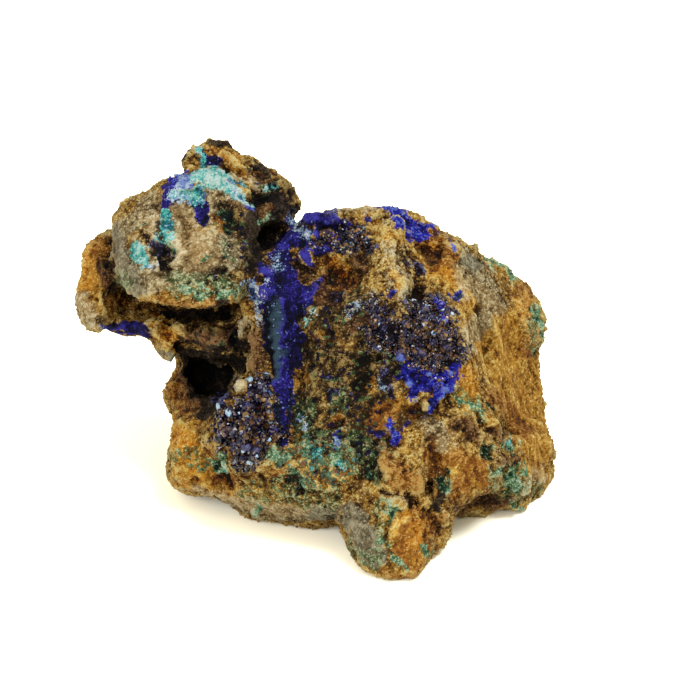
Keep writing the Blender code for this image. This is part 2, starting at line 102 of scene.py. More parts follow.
# What the skin rises by in millimetres, or sinks by where that is below zero.
CARVINGS = (
    (-0.2, ((-5.5, 8.4, 0.6), (-5, 7.6, 0.7), (-4.3, 7.5, 0.5))),
    (-0.7, ((-8.7, 7.2, 0.6),)), (-0.8, ((-16.6, -1, 0.8), (-14.4, -2.4, 1.6), (-12.2, -1.4, 1))),
    (-0.3, ((-2, 8.5, 0.8), (-1, 7.8, 1.2), (0.4, 7.8, 1.1), (1.2, 8.4, 0.7))),
    (-0.4, ((-2.8, 5.9, 0.8), (-1.6, 5.4, 0.9))),
    (0.2, ((3, 12.6, 0.8), (3.8, 9.4, 1), (5, 6.4, 1), (5.6, 4, 0.8))),
    (-0.6, ((6.7, 7.8, 0.4), (6.7, 6.2, 0.6), (6.6, 4.8, 0.5))),
    (-0.4, ((4.4, 13.4, 0.6), (5.8, 12.2, 0.7), (7.4, 11.6, 0.7))),
    (-0.5, ((7.6, 10.4, 0.7), (8.6, 9.8, 0.8))), (-0.3, ((6.4, 8.8, 0.5), (5.6, 9.2, 0.5))),
    (0.4, ((-7, 4.6, 0.5), (-7.1, 0, 0.6), (-7.2, -3.6, 0.4))),
    (-0.4, ((-8, 3.6, 0.3), (-8, 0, 0.3), (-8, -3, 0.3))),
    (0.4, ((-9.2, 2, 0.5), (-9.4, -1, 0.6), (-9.2, -2.6, 0.4))),
    (-0.5, ((-10.3, 2.4, 0.4), (-10.4, 0, 0.4), (-10.3, -2, 0.4))),
    (0.5, ((-17.2, 12.2, 0.5), (-16.9, 10.4, 0.6), (-16.9, 8.6, 0.5))),
    (-0.3, ((-20.6, 11.4, 0.3), (-20.3, 11, 0.4))), (-0.3, ((-19.8, 10, 0.5), (-18.8, 9.6, 0.6))),
    (-0.4, ((-18, 9.2, 0.35), (-17.9, 8, 0.4))), (-0.3, ((-18.2, 13, 0.6), (-18.4, 11.6, 0.6))),
    (-0.3, ((-16.6, 15.4, 0.8), (-15, 15, 0.8))), (0.5, ((-14.6, 17.4, 0.9), (-13, 17, 0.9))),
    (-0.5, ((-12.6, 14.4, 0.5), (-12.2, 12, 0.5))), (0.4, ((-10.8, 14.4, 0.8), (-10.4, 12.6, 0.9))),
    (-0.4, ((-14.8, 13.6, 0.5), (-14.6, 12.4, 0.4))),
    (-0.5, ((-9.6, 15, 0.5), (-8, 15, 0.6))), (-0.4, ((-14.6, 8, 0.5), (-12.6, 7.6, 0.6))),
    (-0.4, ((-25.4, 8.8, 0.4),)), (-0.4, ((-25.6, 5.2, 0.35),)), (-0.5, ((-25.2, 2.9, 0.5),)),
    (-0.4, ((-26, 3, 0.3),)), (-0.5, ((-24.4, 10.6, 0.5), (-24, 8.4, 0.4))),
    (-0.6, ((-13.6, 0.6, 0.4),)), (-0.5, ((-11.8, 2.2, 0.5), (-11.6, 0.8, 0.5))),
    (0.6, ((3.4, -10.8, 0.7), (5, -12, 1.1), (6.6, -13.4, 0.9))),
    (-0.2, ((8.2, -9.4, 0.4), (8.6, -11.4, 0.5), (8.9, -13.8, 0.6), (9, -15, 0.5))),
    (-0.5, ((3, -13.6, 0.35), (4.6, -14.3, 0.35), (6.4, -14.5, 0.35))),
    (-0.5, ((5.5, -14.9, 0.3),)), (-0.4, ((7.2, -15.6, 0.3), (8.4, -15.4, 0.3))),
    (-0.4, ((4.2, -16, 0.6), (3.8, -18, 0.5), (3.6, -19.6, 0.4))),
    (-0.2, ((13.6, -9.6, 0.4), (13.8, -10.6, 0.4))), (-0.3, ((14.6, -11.8, 0.4),)),
    (0.4, ((15.2, -10.9, 0.5), (16.8, -10.8, 0.5))),
    (-0.2, ((11, -7.4, 0.6), (12.6, -8, 0.6))), (-0.3, ((12.6, -6.4, 0.3), (13.8, -7.8, 0.3))),
    (-0.4, ((-5.6, -12.8, 0.6), (-4.6, -13.4, 0.5))), (-0.4, ((-3.4, -11.4, 0.4),)),
    (-0.4, ((-11.8, -13.2, 0.5), (-13, -12.8, 0.4))), (-0.5, ((-12.9, -11.4, 0.35),)),
    (-0.3, ((-16.4, -11.6, 0.5),)), (-0.3, ((-15.4, -13, 0.5),)), (-0.4, ((-17.2, -8.6, 0.4),)),
    (-0.4, ((-2.2, 1.6, 0.6),)), (-0.4, ((0.8, -3, 0.7),)), (-0.3, ((-3.6, -5.4, 0.7),)),
    (-0.4, ((2.9, -6.2, 0.5),)), (-0.4, ((-1.3, -7.3, 0.5),)), (-0.3, ((1.4, -1, 0.6),)),
    (0.4, ((-1.6, -0.6, 0.8), (-0.4, -1.2, 0.7))), (0.4, ((-3.4, -2.6, 0.8),)),
)

# Where the skin is fibrous, and where it stays smooth.
FIBRES = (
    ((11, 6, 2), (13, 2, 3), (15, -2, 3), (17, -6, 2.4), (18, -10, 1.6)),
    ((3.4, 12, 1), (4.4, 8, 1.6), (5.4, 5, 1.2)), ((-9.2, 2.4, 0.9), (-9.2, -2.6, 0.9)),
)
SMOOTH = (
    ((-23.2, 11.4, 0.8), (-22.6, 8.4, 1.2), (-21.6, 6.4, 1)),
    ((-12, -15, 0.8), (-7, -16, 0.8), (-3, -16.4, 0.8)), ((0.8, -17, 1.2), (1.8, -20, 1.2)),
    ((-4.3, 9.2, 0.9),), ((-7.1, 4, 0.6), (-7.1, -3, 0.6)),
)

# Stains in the order that they lie on the rock, with the most that each field may reach: where
# that is low, the stain is broken up into flecks.
SOLID = 3.0
STAINS = {
    "golden": (0.6, (
        ((12, 6, 1.6), (14, 3, 2.6), (16, -1, 3), (17.6, -5, 2.6), (18.6, -9, 2), (18.6, -12, 1.4)),
        ((-17, -9, 2), (-14, -12.6, 1.6)), ((11, -2, 1.2), (12, -6, 1.4)),
        ((-26, 9, 1.6), (-26, 5, 1.4)), ((-18, 15, 1.6), (-15, 9, 2.4)),
        ((1, -7, 1.6), (5, -6, 1.6)), ((9, -10, 1.6), (12, -12.4, 2)),
        ((5, -17, 1.6), (6.4, -20, 1.6)), ((8, 9, 1.4), (10, 7, 1.4)),
    )),
    "olive": (1.5, (
        ((-3.4, 3.4, 1.6), (-0.6, 3.6, 1.8), (1.6, 2, 2), (3.2, -1.6, 2.2)),
        ((-3, 0, 2), (-0.6, -2.6, 3), (1, -5.6, 2.6)), ((-4.4, -5, 1.4), (-4, -8.4, 1.4)),
        ((-1.6, -8, 2), (2.2, -9, 2), (2.4, -11.6, 1.2)),
        ((-14.4, 1.4, 1), (-13, 0.8, 1.2), (-12, 0.2, 1)), ((-24.6, 7.6, 0.8), (-24, 6.2, 0.8)),
        ((-11.6, 13.6, 1), (-11.4, 11, 1.4), (-11, 8.6, 1.2)),
        ((-8.2, 16.4, 1), (-6.4, 15.4, 1), (-5.4, 14.6, 0.6)), ((-14, 7, 1.4), (-11, 6.4, 1.2)),
        ((-3, 6.6, 1.2), (0, 5.4, 1.6), (2, 5, 1)), ((4.8, -6.6, 1), (6.6, -6.4, 1)),
    )),
    "tan": (0.8, (
        ((-22, 12, 1), (-19.6, 14.4, 1.6), (-16, 14, 2), (-13, 15.4, 1.6)),
        ((-20.4, 8.6, 1.6), (-16.6, 10, 2.6), (-13, 9.6, 2.2)), ((-15.6, 7.4, 1.2), (-20, 6.6, 1)),
        ((-27, 5, 1), (-26, 3, 1)), ((11, 9, 1), (13, 7, 1.6), (14.6, 5, 1.4), (12.6, 2, 1)),
        ((3.4, 12, 0.7), (4.6, 8, 1), (5.6, 4.6, 0.8)),
        ((7.6, -7.4, 0.8), (8.8, -8.4, 1), (9.6, -9.4, 0.8)),
        ((-13, -15.2, 0.6), (-10, -16, 0.8), (-7, -16.4, 0.9), (-3, -16.4, 1)),
    )),
    "grey": (SOLID, (
        ((-23.2, 12, 0.7), (-22.8, 10.4, 1), (-22.6, 8.4, 1.2), (-22, 6.8, 1.2), (-21, 5.8, 0.8)),
        ((0, -15.6, 0.8), (0.6, -17, 1.2), (1.6, -18.6, 1.4), (2.4, -20.4, 1.1)),
        ((-4, -16.6, 0.6), (-1.6, -16, 0.8)),
        ((-18.6, -0.3, 0.5), (-18, -0.9, 0.5)),
        ((11.6, 9.2, 0.5), (12.6, 8.4, 0.6)),
    )),
    "pale": (0.5, (
        ((-17.3, 12.4, 0.4), (-17, 10.8, 0.5), (-17, 9.2, 0.45)),
        # This stroke along the top rim is a painted highlight
        ((-3.6, 14.4, 0.6), (-1, 14.4, 0.7), (1.4, 14.4, 0.8), (3, 14.5, 0.7)),
        ((-17.8, -13.5, 0.4), (-14.4, -14.3, 0.4), (-11, -14.9, 0.4), (-7, -15.3, 0.5)),
        ((-12, -15.6, 0.4), (-8, -16.2, 0.5), (-4.4, -16, 0.4)),
        ((-19.8, 12.6, 0.9), (-18.6, 10.4, 0.4)), ((-15.8, 12, 1), (-15.2, 9.8, 1.2)),
        ((10.8, 7.4, 0.8), (11.4, 5.4, 0.7)), ((11.4, 2, 0.6), (12, -0.4, 0.7)),
        ((3, -9.6, 0.4), (3.4, -10.2, 0.3)), ((3.4, -13.8, 0.25), (5, -14.4, 0.3)),
        ((-27, 5, 0.6), (-26.6, 3.4, 0.8), (-25, 2.4, 0.6)), ((-11, 3, 0.4), (-10.7, 2, 0.5)),
        ((-11.6, 17.4, 0.4), (-10, 16.9, 0.5), (-8.8, 16.3, 0.5)),
        ((-11.3, -3.2, 0.6), (-10.8, -3.6, 0.5)), ((4.9, -16.8, 0.2), (5.8, -17.2, 0.2)),
        ((17.6, -14, 0.8), (18.8, -12.6, 0.8)),
    )),
    "ochre": (1.0, (
        ((2.8, 12, 0.6), (4.2, 11.6, 0.9), (5, 11, 0.6)),
        ((4, 9, 0.4), (5, 6.4, 0.5)), ((2, -3.4, 0.4),), ((-2.6, 1.6, 0.4),),
        ((5.6, -16.6, 1), (6.6, -18.4, 1.4), (5.6, -20.6, 1.2)),
        ((8.4, 8, 0.8), (9.6, 7.2, 0.7)), ((17.7, 5, 0.6), (17.6, 3.8, 0.8), (17.8, 2.8, 0.5)),
        ((11.8, -2.2, 0.6), (12.4, -3.8, 0.7)),
        ((-26.4, 10.6, 0.8), (-26.7, 8.8, 0.9), (-26.8, 6.4, 0.8)),
        ((-17.2, -7.6, 0.9), (-16.8, -10, 1.5), (-15.6, -11.8, 1.5), (-17, -13.2, 1)),
        ((-15.8, -6.6, 0.6),), ((-13, 20, 0.5), (-11.8, 19.2, 0.8), (-10.4, 18.2, 0.8)),
        ((-19.2, 3, 0.6), (-18.4, 1.8, 1), (-17.8, 0.6, 0.8)), ((14.4, -6, 0.4), (14.6, -7.4, 0.4)),
        ((-12, -13.8, 0.5), (-9, -14.2, 0.6), (-7, -14.4, 0.5)),
    )),
    "rust": (0.6, (
        ((-2.4, 7.6, 0.6), (-1.4, 7.2, 0.9), (-0.2, 6.9, 0.7)),
        ((7.8, 10.8, 0.8), (8.8, 10.8, 0.9), (9.6, 9.8, 0.8), (9.8, 8.6, 0.7), (8.6, 8.2, 0.5)),
        ((8.5, -0.2, 0.8),), ((2.4, -5.4, 0.6), (3.2, -6.6, 0.8), (2, -7, 0.6), (4.2, -6.2, 0.5)),
        ((-1.5, -6.6, 0.6), (-0.8, -7.7, 0.6)), ((6.2, -6, 0.8),), ((-4, -2.6, 0.5),),
        ((3.8, -10.8, 0.6), (4.6, -11.6, 1.1), (5.6, -12.6, 1.2), (6.6, -13.2, 0.9)),
        ((8, -9.4, 0.7), (8.2, -11.2, 0.7), (8.3, -12.6, 0.6)),
        ((9.8, -10.8, 0.8), (11.2, -10.4, 1), (12.6, -11.6, 1.2), (14, -13, 0.9)),
        ((10, -14, 1), (11.4, -13, 1.2)), ((14.2, -4.6, 0.8), (16, -6.4, 1), (17.6, -8.4, 1)),
        ((6, -15.4, 0.8), (6.8, -16.6, 1.3), (6.4, -18.4, 1.5), (5.6, -20, 1.1)),
        ((7.6, -18.6, 1), (8.2, -16.6, 0.9), (9.2, -16.6, 0.7)),
        ((2.6, -21.6, 0.4), (4, -22.2, 0.4), (6.2, -22, 0.5), (6.8, -21, 0.4)),
        ((-13.4, -12.4, 0.6), (-12.6, -13.2, 0.7), (-11.6, -12.8, 0.6)), ((-13.9, -9.8, 0.4),),
        ((-7.3, -12.4, 0.5),), ((17.4, 6, 0.8), (18.1, 5.4, 0.5)), ((18, 0.8, 0.5), (17.8, 0, 0.6)),
        ((-18.4, -2.8, 0.8), (-17.6, -3.8, 1.2), (-16.4, -5, 1)),
        ((-19.2, 4.9, 0.4), (-17, 4.6, 0.5), (-15, 4.6, 0.5), (-12.8, 4.8, 0.5)),
        ((-25.2, 11, 0.7), (-25.4, 9.4, 0.8)), ((-17.4, -2.6, 0.6), (-16.8, -4, 0.8)),
        ((-24.4, 5.2, 0.5), (-22, 4.6, 0.5), (-20.4, 4.2, 0.4)),
        ((-13.9, 20.2, 0.4), (-12.6, 19.2, 0.5)), ((-9.9, 17.6, 0.5), (-9, 17.3, 0.5)),
        ((-9, 1.8, 0.3), (-9.2, 0.6, 0.3)), ((-7.9, -6.4, 0.35), (-7.8, -8, 0.4)),
        ((-12.8, 13.8, 0.4), (-13, 11.6, 0.5)),
    )),
    "umber": (1.0, (
        ((-2.7, 6.6, 1), (-2.2, 5.2, 1), (-1.2, 5.4, 0.9)), ((0.6, 8.8, 0.8), (1.3, 7.8, 0.6)),
        ((7.8, 9.4, 0.5), (8.4, 8.8, 0.4)), ((10.8, -7.2, 0.8), (12.4, -7.8, 0.8)),
        ((-24.6, 8.4, 0.8), (-24.4, 6.6, 0.6)), ((-10, 17.7, 0.4), (-8.6, 17.2, 0.4)),
        ((-9, 2.2, 0.6), (-9.1, 0.2, 0.7), (-9.3, -2, 0.6)), ((-7.4, 14, 1.2), (-5.6, 14, 0.8)),
        ((11, -15.9, 0.6), (12.6, -15.3, 0.8), (14.6, -15, 0.8), (15.8, -15.2, 0.7)),
        ((-16.6, -3.2, 0.9), (-15.6, -5.2, 0.8)), ((14.6, -8, 0.6), (15.2, -8.6, 0.4)),
        ((14.8, -10.9, 0.5), (16.6, -10.8, 0.5)),
        ((2.2, 3.2, 0.8), (1, 2.2, 0.9)), ((-3.2, 1.2, 0.6),), ((-12, 15, 0.5), (-9.2, 13.6, 1)),
        ((-16.4, 2, 0.6), (-14.6, 0.9, 0.9), (-12.6, 0.4, 0.9), (-11.8, 2.4, 0.6)),
    )),
    # The dark stain is partly near-black ore and partly painted shadow, above all in the cleft
    # between the head and the body, the slit under the head and the cave
    "dark": (SOLID, (
        ((-9.8, 13.2, 0.6), (-8.6, 11.6, 1.1), (-9, 10, 0.9), (-7.4, 12.4, 0.9), (-6.4, 13.4, 0.6)),
        ((-9.9, 13.6, 0.8), (-9.8, 12, 1), (-9.2, 10, 1.2), (-9.2, 9.2, 0.9)),
        ((-7, 14, 0.6), (-5, 13.8, 0.7)),
        ((-9.4, 15.1, 0.4), (-8.2, 15.1, 0.6), (-6.8, 14.8, 0.6)), ((-10, 8.6, 0.5),),
        ((-14, 21, 0.5), (-12.4, 21, 0.6), (-11.8, 20.5, 0.4)),
        ((-17.4, 18.9, 0.4), (-16.2, 19.7, 0.35)),
        ((-9.6, 18.5, 0.5), (-8.4, 17.9, 0.5)), ((-2.4, 14.8, 0.4), (-1.4, 14.8, 0.4)),
        ((-19.4, 9.8, 0.5), (-18.4, 9.4, 0.5)), ((-17.9, 8.9, 0.3),), ((-8.7, 7.2, 0.4),),
        ((-17.9, 8.1, 0.3),), ((-20.4, 11.1, 0.3),), ((-19, 12.6, 0.4), (-19.2, 11.9, 0.35)),
        ((-19, 3.7, 0.4), (-17, 3.6, 0.6), (-15, 3.5, 0.7), (-13.4, 3.6, 0.8), (-12.6, 4, 1)),
        ((-17.2, 1.2, 0.4), (-17, -0.4, 0.8), (-15.6, -1.2, 1.3), (-13, -1.2, 1.4),
         (-11.6, -1.6, 0.9)),
        ((-15.6, 1, 0.5),), ((-16, -2, 1), (-14.8, -3.4, 1.7), (-13, -2.6, 1.8), (-13.8, -5, 1.7)),
        ((-11, -1.2, 0.8), (-10.8, -2.2, 0.6)), ((-11.8, 1.6, 0.5), (-11, 0.4, 0.6)),
        ((9, -14.4, 0.4), (9.2, -15.2, 0.4)), ((-10.4, -5.8, 0.9),), ((-9, -8.8, 0.6),),
        ((-8, 4.6, 0.3), (-8.4, 2.6, 0.3)), ((5.5, -14.9, 0.25),), ((-13, -11.4, 0.3),),
    )),
    "orange": (1.0, (
        ((-19.4, 2.8, 0.7), (-18.6, 1.8, 0.9), (-18, 0.8, 0.7)),
        ((-1.8, 8.8, 0.6), (-0.8, 8.2, 0.7)),
        ((-12.8, 19.4, 0.4), (-11.4, 18.8, 0.5)),
        ((-17, -8.6, 0.5), (-16.4, -10.4, 0.8)), ((17.4, 4.8, 0.5), (17.6, 3.2, 0.6)),
        ((8.2, 10.6, 0.4),), ((-26.6, 9, 0.5),),
        ((8.6, -0.4, 0.4),), ((6.8, -17, 0.6), (6.4, -19, 0.7)),
    )),
    "moss": (0.05, (
        ((-4.8, -6, 1), (-4.2, -8.6, 1.6), (-1.6, -9.6, 2), (1.4, -10.6, 1.6)),
        ((-1, -5, 1.2),), ((-10, -14, 1), (-6, -14, 1.2), (-2, -14.6, 1)),
        ((-17, 6.4, 1), (-14, 6.6, 1.2), (-11.6, 6, 1)), ((16, -13, 2), (18.4, -14, 1)),
        ((3.4, -15.6, 1), (3.4, -19.4, 0.8)), ((18.6, 3, 0.6), (19, 0, 0.6)),
        ((-17.6, -10.6, 0.6), (-14.6, -11, 0.8)), ((10.6, -4.4, 0.8), (12.6, -5.8, 0.9)),
        ((-22.4, 6.6, 0.9),), ((0, -19.6, 0.8), (2.4, -20.8, 0.8)),
    )),
    "malachite": (SOLID, (
        ((-4.3, -9.8, 0.5), (-3, -10, 0.7)), ((-1.2, -10.6, 0.5), (-1, -11.8, 0.5)),
        ((-8.2, -10.3, 0.5), (-7, -10.6, 0.7), (-5.8, -10.5, 0.5)),
        ((-13.2, -10.8, 0.4), (-12.4, -11.9, 0.5)), ((-5.6, -12.4, 0.5), (-4.8, -13, 0.5)),
        ((2, -12.2, 0.35),), ((-5.4, -6.6, 0.3), (-4.6, -7.6, 0.3)), ((-4.4, -8.4, 0.3),),
        ((10.9, -5.4, 0.4), (12, -5.9, 0.5), (13.2, -5.7, 0.4)),
        ((15.8, -9.2, 0.5), (16.5, -9.6, 0.5)), ((15, -12, 0.3),),
        ((16, -12.2, 0.7), (16.4, -13.6, 0.7)), ((17.6, -12, 0.5),), ((16.6, -15.9, 0.5),),
        ((13.7, -9.8, 0.4), (13.6, -10.5, 0.35)), ((8.9, -12.4, 0.5), (9.2, -13.6, 0.5)),
        ((13.4, 9.2, 0.3), (14.8, 8.8, 0.4), (16.4, 8, 0.4), (17.4, 7.4, 0.5)),
        ((18.9, 4.4, 0.3), (19.4, 2.6, 0.35), (19.5, 0.8, 0.3)),
        ((4, -14.9, 0.4), (4.3, -15.9, 0.4)),
        ((4.4, -20.5, 0.5), (5.5, -20.9, 0.45)), ((7.3, -19.4, 0.45), (7.7, -20.2, 0.35)),
        ((2.4, -19, 0.35), (3.5, -19.2, 0.4)), ((-16, 6, 0.35), (-14.4, 5.8, 0.4)),
        ((-12.8, 5.4, 0.5), (-11.6, 5.6, 0.4)), ((-14.4, 9.3, 0.35),), ((-18, 10.6, 0.4),),
        ((-17.6, 10.2, 0.5),), ((-12.5, 14, 0.25), (-12.3, 12.4, 0.3)), ((-12, 10, 0.3),),
        ((-9.2, -16.1, 0.5),), ((-14.4, -11.4, 0.4),), ((-18.4, -8.4, 0.3),),
        ((-20.6, 12.2, 0.2),), ((-8.8, 12.8, 0.3), (-8, 13.1, 0.25)), ((-15.2, -11.6, 0.3),),
    )),
    "navy": (0.6, (
        ((-19.6, 10.6, 0.6), (-18.2, 9.8, 0.6)),
        ((-9, -4.6, 1.3), (-10.4, -7, 2.2), (-10.2, -9.4, 1.8), (-8.2, -8, 1)),
        ((2.4, 4.2, 0.8), (3.4, 1, 1.4), (6, 1.6, 1.6), (8, 4.4, 1.2)),
        ((9.2, 1.6, 1.4), (9.8, -1, 1), (6.6, 0, 1.6), (4.4, 0.2, 1)),
        ((-0.8, 12, 0.8), (0.6, 11.6, 1), (1.2, 10.4, 0.6)), ((-1, 5.6, 0.5),),
        ((-5.4, 12.8, 0.8), (-3.6, 13.2, 1), (-1.6, 13, 1)),
        ((-13.2, -4.6, 0.5), (-12.4, -5.4, 0.6)), ((6, 8.6, 0.4), (6.9, 8.2, 0.4)),
        ((-2, -5, 0.4), (-1.4, -4.4, 0.5)), ((3.6, -2.2, 0.5), (3.9, -4.4, 0.4)),
        ((-3.6, -7, 0.4),),
    )),
    "azurite": (SOLID, (
        ((-7.7, 4.6, 0.7), (-7.6, 1, 0.7), (-7.4, -3, 0.6)),
        ((-6.9, 4.4, 0.7), (-6.8, 0, 0.8), (-6.9, -3, 0.7)),
        ((-4.3, 13.6, 0.6), (-3.2, 12.9, 0.7), (-1.8, 12.5, 0.8), (-0.6, 12.4, 0.6)),
        ((-5.6, 12.2, 0.6), (-4.4, 11.8, 0.8), (-3, 11.6, 0.8), (-1.8, 11.2, 0.7)),
        ((-7.4, 8.6, 0.5), (-6.9, 10, 0.8), (-6, 10.9, 0.8), (-4.6, 10.9, 0.8), (-2.8, 10.4, 0.9)),
        ((-7, 9.4, 0.7), (-6.9, 7.6, 0.7), (-6.8, 6, 0.8)), ((-4.3, 9.2, 0.9),),
        ((-6.2, 6, 1), (-5, 5.7, 1.1), (-4.2, 6.2, 0.8), (-3.6, 6.9, 0.4)),
        ((-6.2, 4.6, 1), (-5, 4.6, 1), (-3.9, 5, 0.6)), ((-6, 3.2, 0.9), (-5.8, 1.2, 0.8)),
        ((-5.3, 0.6, 0.7), (-5.1, -0.8, 0.8), (-5, -1.6, 0.6)), ((-6, 0.6, 0.5), (-5.9, -1, 0.5)),
        ((-6.2, -1.8, 0.8), (-6.3, -3.4, 0.8), (-6.4, -5, 0.8), (-6.6, -7, 0.7), (-6.9, -9.2, 0.5)),
        ((-8.8, 8, 0.8), (-8.3, 7.2, 1.3), (-8.2, 6, 1.4), (-8.3, 5, 1.1), (-7.8, 4.2, 0.6)),
        ((-6.8, 9.6, 1.1), (-6.6, 7.6, 1), (-6.2, 5.6, 1.3), (-5.4, 4.2, 1.1)),
        ((-24, 2.3, 0.5), (-22.4, 2.3, 0.7), (-21, 2.1, 0.7), (-20.3, 1, 0.5), (-20, 0.2, 0.3)),
        ((-14.8, 19.5, 0.5), (-14.1, 18.8, 0.7), (-13.5, 18.3, 0.5)),
        ((-18.7, 16.6, 0.4), (-18, 16, 0.6), (-17.6, 15.2, 0.5), (-17.9, 14.3, 0.6),
         (-18.6, 14, 0.3)),
        ((-15.6, 15, 0.5), (-14.9, 14.4, 0.7), (-14.7, 13.4, 0.5)),
        ((2, -8, 0.35), (3.2, -8.2, 0.35)), ((5.6, -7.4, 0.25),),
        ((1.6, 13.2, 0.3), (2.4, 12.8, 0.3)),
    )),
    "ultramarine": (SOLID, (
        ((3.4, 14.5, 0.4), (4.5, 13.8, 0.8), (5.6, 12.7, 0.8), (6.4, 11.9, 0.7), (7.4, 11.8, 0.6)),
        ((7.4, 11.9, 0.5), (8.7, 12, 0.3)), ((6.3, 11.4, 0.3), (6.5, 11, 0.25)),
        ((4.9, -0.8, 0.4), (5.6, -1.6, 0.8), (6.2, -2.6, 0.9), (6.5, -3.8, 0.7), (6.2, -4.6, 0.4)),
        ((9, -3.6, 0.5), (8.4, -4.6, 0.6), (7.9, -5.6, 0.45), (7.6, -6.2, 0.25)),
        ((10.7, -1.6, 0.5), (10.4, -2.8, 0.6), (9.4, -3.5, 0.5)), ((4.1, 5.6, 0.35),),
        ((10.4, 10.3, 0.35), (10.2, 10.7, 0.3)), ((10.7, 5.3, 0.4),), ((-24.6, 2.1, 0.4),),
        ((-16.1, 15.4, 0.3), (-15.2, 15.2, 0.45)), ((-10.4, 14.2, 0.5),), ((-16.9, 17, 1.3),),
        ((4.3, -7.2, 0.4), (4.8, -8.2, 0.4), (4.3, -9.2, 0.35)), ((-1.1, -8.5, 0.4),),
        ((8.9, 4.4, 0.4), (9.4, 3.6, 0.35)), ((5.4, -2, 0.8), (7.4, -2.9, 0.9), (9.4, -2.8, 0.8)),
    )),
    "slate": (SOLID, (
        ((-7.6, 4.8, 0.4), (-7.6, 3, 0.6), (-7.4, 1, 0.6), (-7.3, -1, 0.5), (-7.4, -2.8, 0.4)),
        ((-7.3, -3.8, 0.2), (-7.3, -7, 0.2)), ((10.9, 5.2, 0.3),), ((-6.9, -5, 0.3), (-7, -7, 0.3)),
    )),
    "cornflower": (SOLID, (
        ((-17.2, 17.8, 0.5), (-16.6, 17, 0.8), (-16.4, 16.4, 0.6)),
        ((-1.1, -8.8, 0.35), (-1.3, -9.4, 0.3)),
        ((4.4, -7.8, 0.3),), ((-10.4, 14.9, 0.3),), ((-9.7, 6.9, 0.25), (-9.4, 6, 0.35)),
        ((-4.2, 11.9, 0.3),), ((-15, 15.3, 0.25),), ((8.2, -4.9, 0.2),),
    )),
    "turquoise": (SOLID, (
        ((-15.4, 17.4, 0.7), (-14.4, 17, 1.1), (-13.2, 16.8, 1), (-12.4, 16.4, 0.8)),
        ((-12.2, 16.2, 0.8), (-11.2, 15.6, 0.8), (-10.4, 14.6, 0.5)),
        ((-17, 15.6, 0.5), (-16, 15, 0.6), (-15.4, 15.6, 0.7)),
        ((-18.3, 13.6, 0.4), (-18.3, 12.4, 0.5), (-17.6, 11, 0.5)), ((-19, 11.4, 0.4),),
        ((-21, 10, 0.5), (-20.6, 9, 0.6), (-20.2, 8.4, 0.5)),
        ((-14.8, 19.7, 0.4), (-14.9, 18.6, 0.5)), ((-7.7, 16.4, 0.4),), ((-3.6, 3.7, 0.3),),
        ((-4.4, 2.7, 0.3),), ((1.6, 11.8, 0.25),), ((-3.6, -9.7, 0.35), (-2.9, -9.8, 0.35)),
        ((-1.1, -11.2, 0.35), (-0.9, -12, 0.3)), ((-12.4, -12.2, 0.3),), ((16.2, -8.8, 0.3),),
    )),
    "frost": (0.1, (
        ((-9.9, 6.6, 0.3), (-9.6, 5.8, 0.4), (-9.1, 5.1, 0.35)),
        ((-9.4, 4.2, 0.4), (-9.1, 3.4, 0.5)),
        ((-7.3, 9.4, 0.15), (-7.3, 8.4, 0.2)),
        ((-5.5, 12.5, 0.2), (-4.6, 12.4, 0.2)), ((-4.2, 11.6, 0.3),),
        ((-20.4, 8.2, 0.2), (-19.4, 8, 0.3), (-18.6, 8.3, 0.2)), ((2.3, 5.2, 0.4),),
        ((-17.4, 16.3, 0.2), (-17.2, 15.2, 0.3), (-16.3, 14.6, 0.2)),
        ((-12.4, 16.6, 0.2), (-11.4, 15.8, 0.4), (-10.8, 14.9, 0.3)),
        ((-14.4, 17.8, 0.1),), ((-18, 12.6, 0.1),),
        ((-8.1, 6.7, 0.25),), ((-0.1, 3.9, 0.4),), ((-3.5, 3.5, 0.2),), ((-14.9, 15.4, 0.2),),
        ((-5, -7, 0.3), (-4.2, -8, 0.3)),
        # The spot at 0 across and 10.6 up is a painted glint
        ((1, 4.2, 0.3),), ((0, 10.6, 0.5),), ((-8.1, -4.2, 0.4),), ((3.2, -3.4, 0.25),),
    )),
    "limonite": (SOLID, (
        ((-5.5, 8.4, 0.5), (-5, 7.6, 0.6), (-4.3, 7.5, 0.4)), ((-9.1, 7.5, 0.4), (-8.9, 6.7, 0.4)),
        ((8.6, -0.4, 0.5),), ((-3.8, 12.6, 0.3),), ((-11, 3, 0.3),),
        ((-5.2, -0.2, 0.15),), ((-3.9, 7.2, 0.2),),
    )),
}

# Stains on the side that the eye doesn't see: size of the patches in millimetres, and the height
# of the noise above which they show.
HIDDEN_STAINS = {
    "golden": (8, 0),
    "olive": (9, 0.1),
    "grey": (11, 0.32),
    "ochre": (7, 0.2),
    "rust": (8, 0.14),
    "umber": (5, 0.22),
    "moss": (6, 0.24),
    "malachite": (5, 0.46),
    "azurite": (5.5, 0.5),
    "turquoise": (4, 0.6),
}

# The druses: length of a middling crystal in millimetres, crystals on a square millimetre, share
# of them coated with iron, and the stroke that they grow on.
DRUSES = {
    "azurite_druse_hollow": (0.44, 21, 0.22, (
        (-8.8, -3.8, 1), (-9.4, -5.6, 1.7), (-11.2, -7.4, 1.8), (-10.6, -9.6, 1.8),
        (-8.4, -8.2, 1.2),
    )),
    "azurite_druse_flank": (0.32, 30, 0.24, (
        (2.6, 4.6, 0.7), (3, 1.4, 1.2), (5.8, 1.8, 2), (8.2, 3.6, 1.6), (9.4, 0, 1.6),
        (6.6, 0.2, 1.6), (8.8, -1.6, 1.1), (9.8, -1.4, 0.9),
    )),
    "azurite_druse_shoulder": (0.3, 30, 0.24, (
        (-2.6, 11.2, 0.8), (-0.6, 11.2, 1.1), (0.8, 10.7, 1),
    )),
}
MALACHITE_CRUST = ((-5.4, -10.8, 1.2), (-3, -10.6, 1.6), (-0.9, -11, 1.4), (-4.4, -12.6, 1.2))
GRAIN_LAYERS = (1, 0.7, 0.7)  # widths of the grains in each layer, as shares of the coarsest's

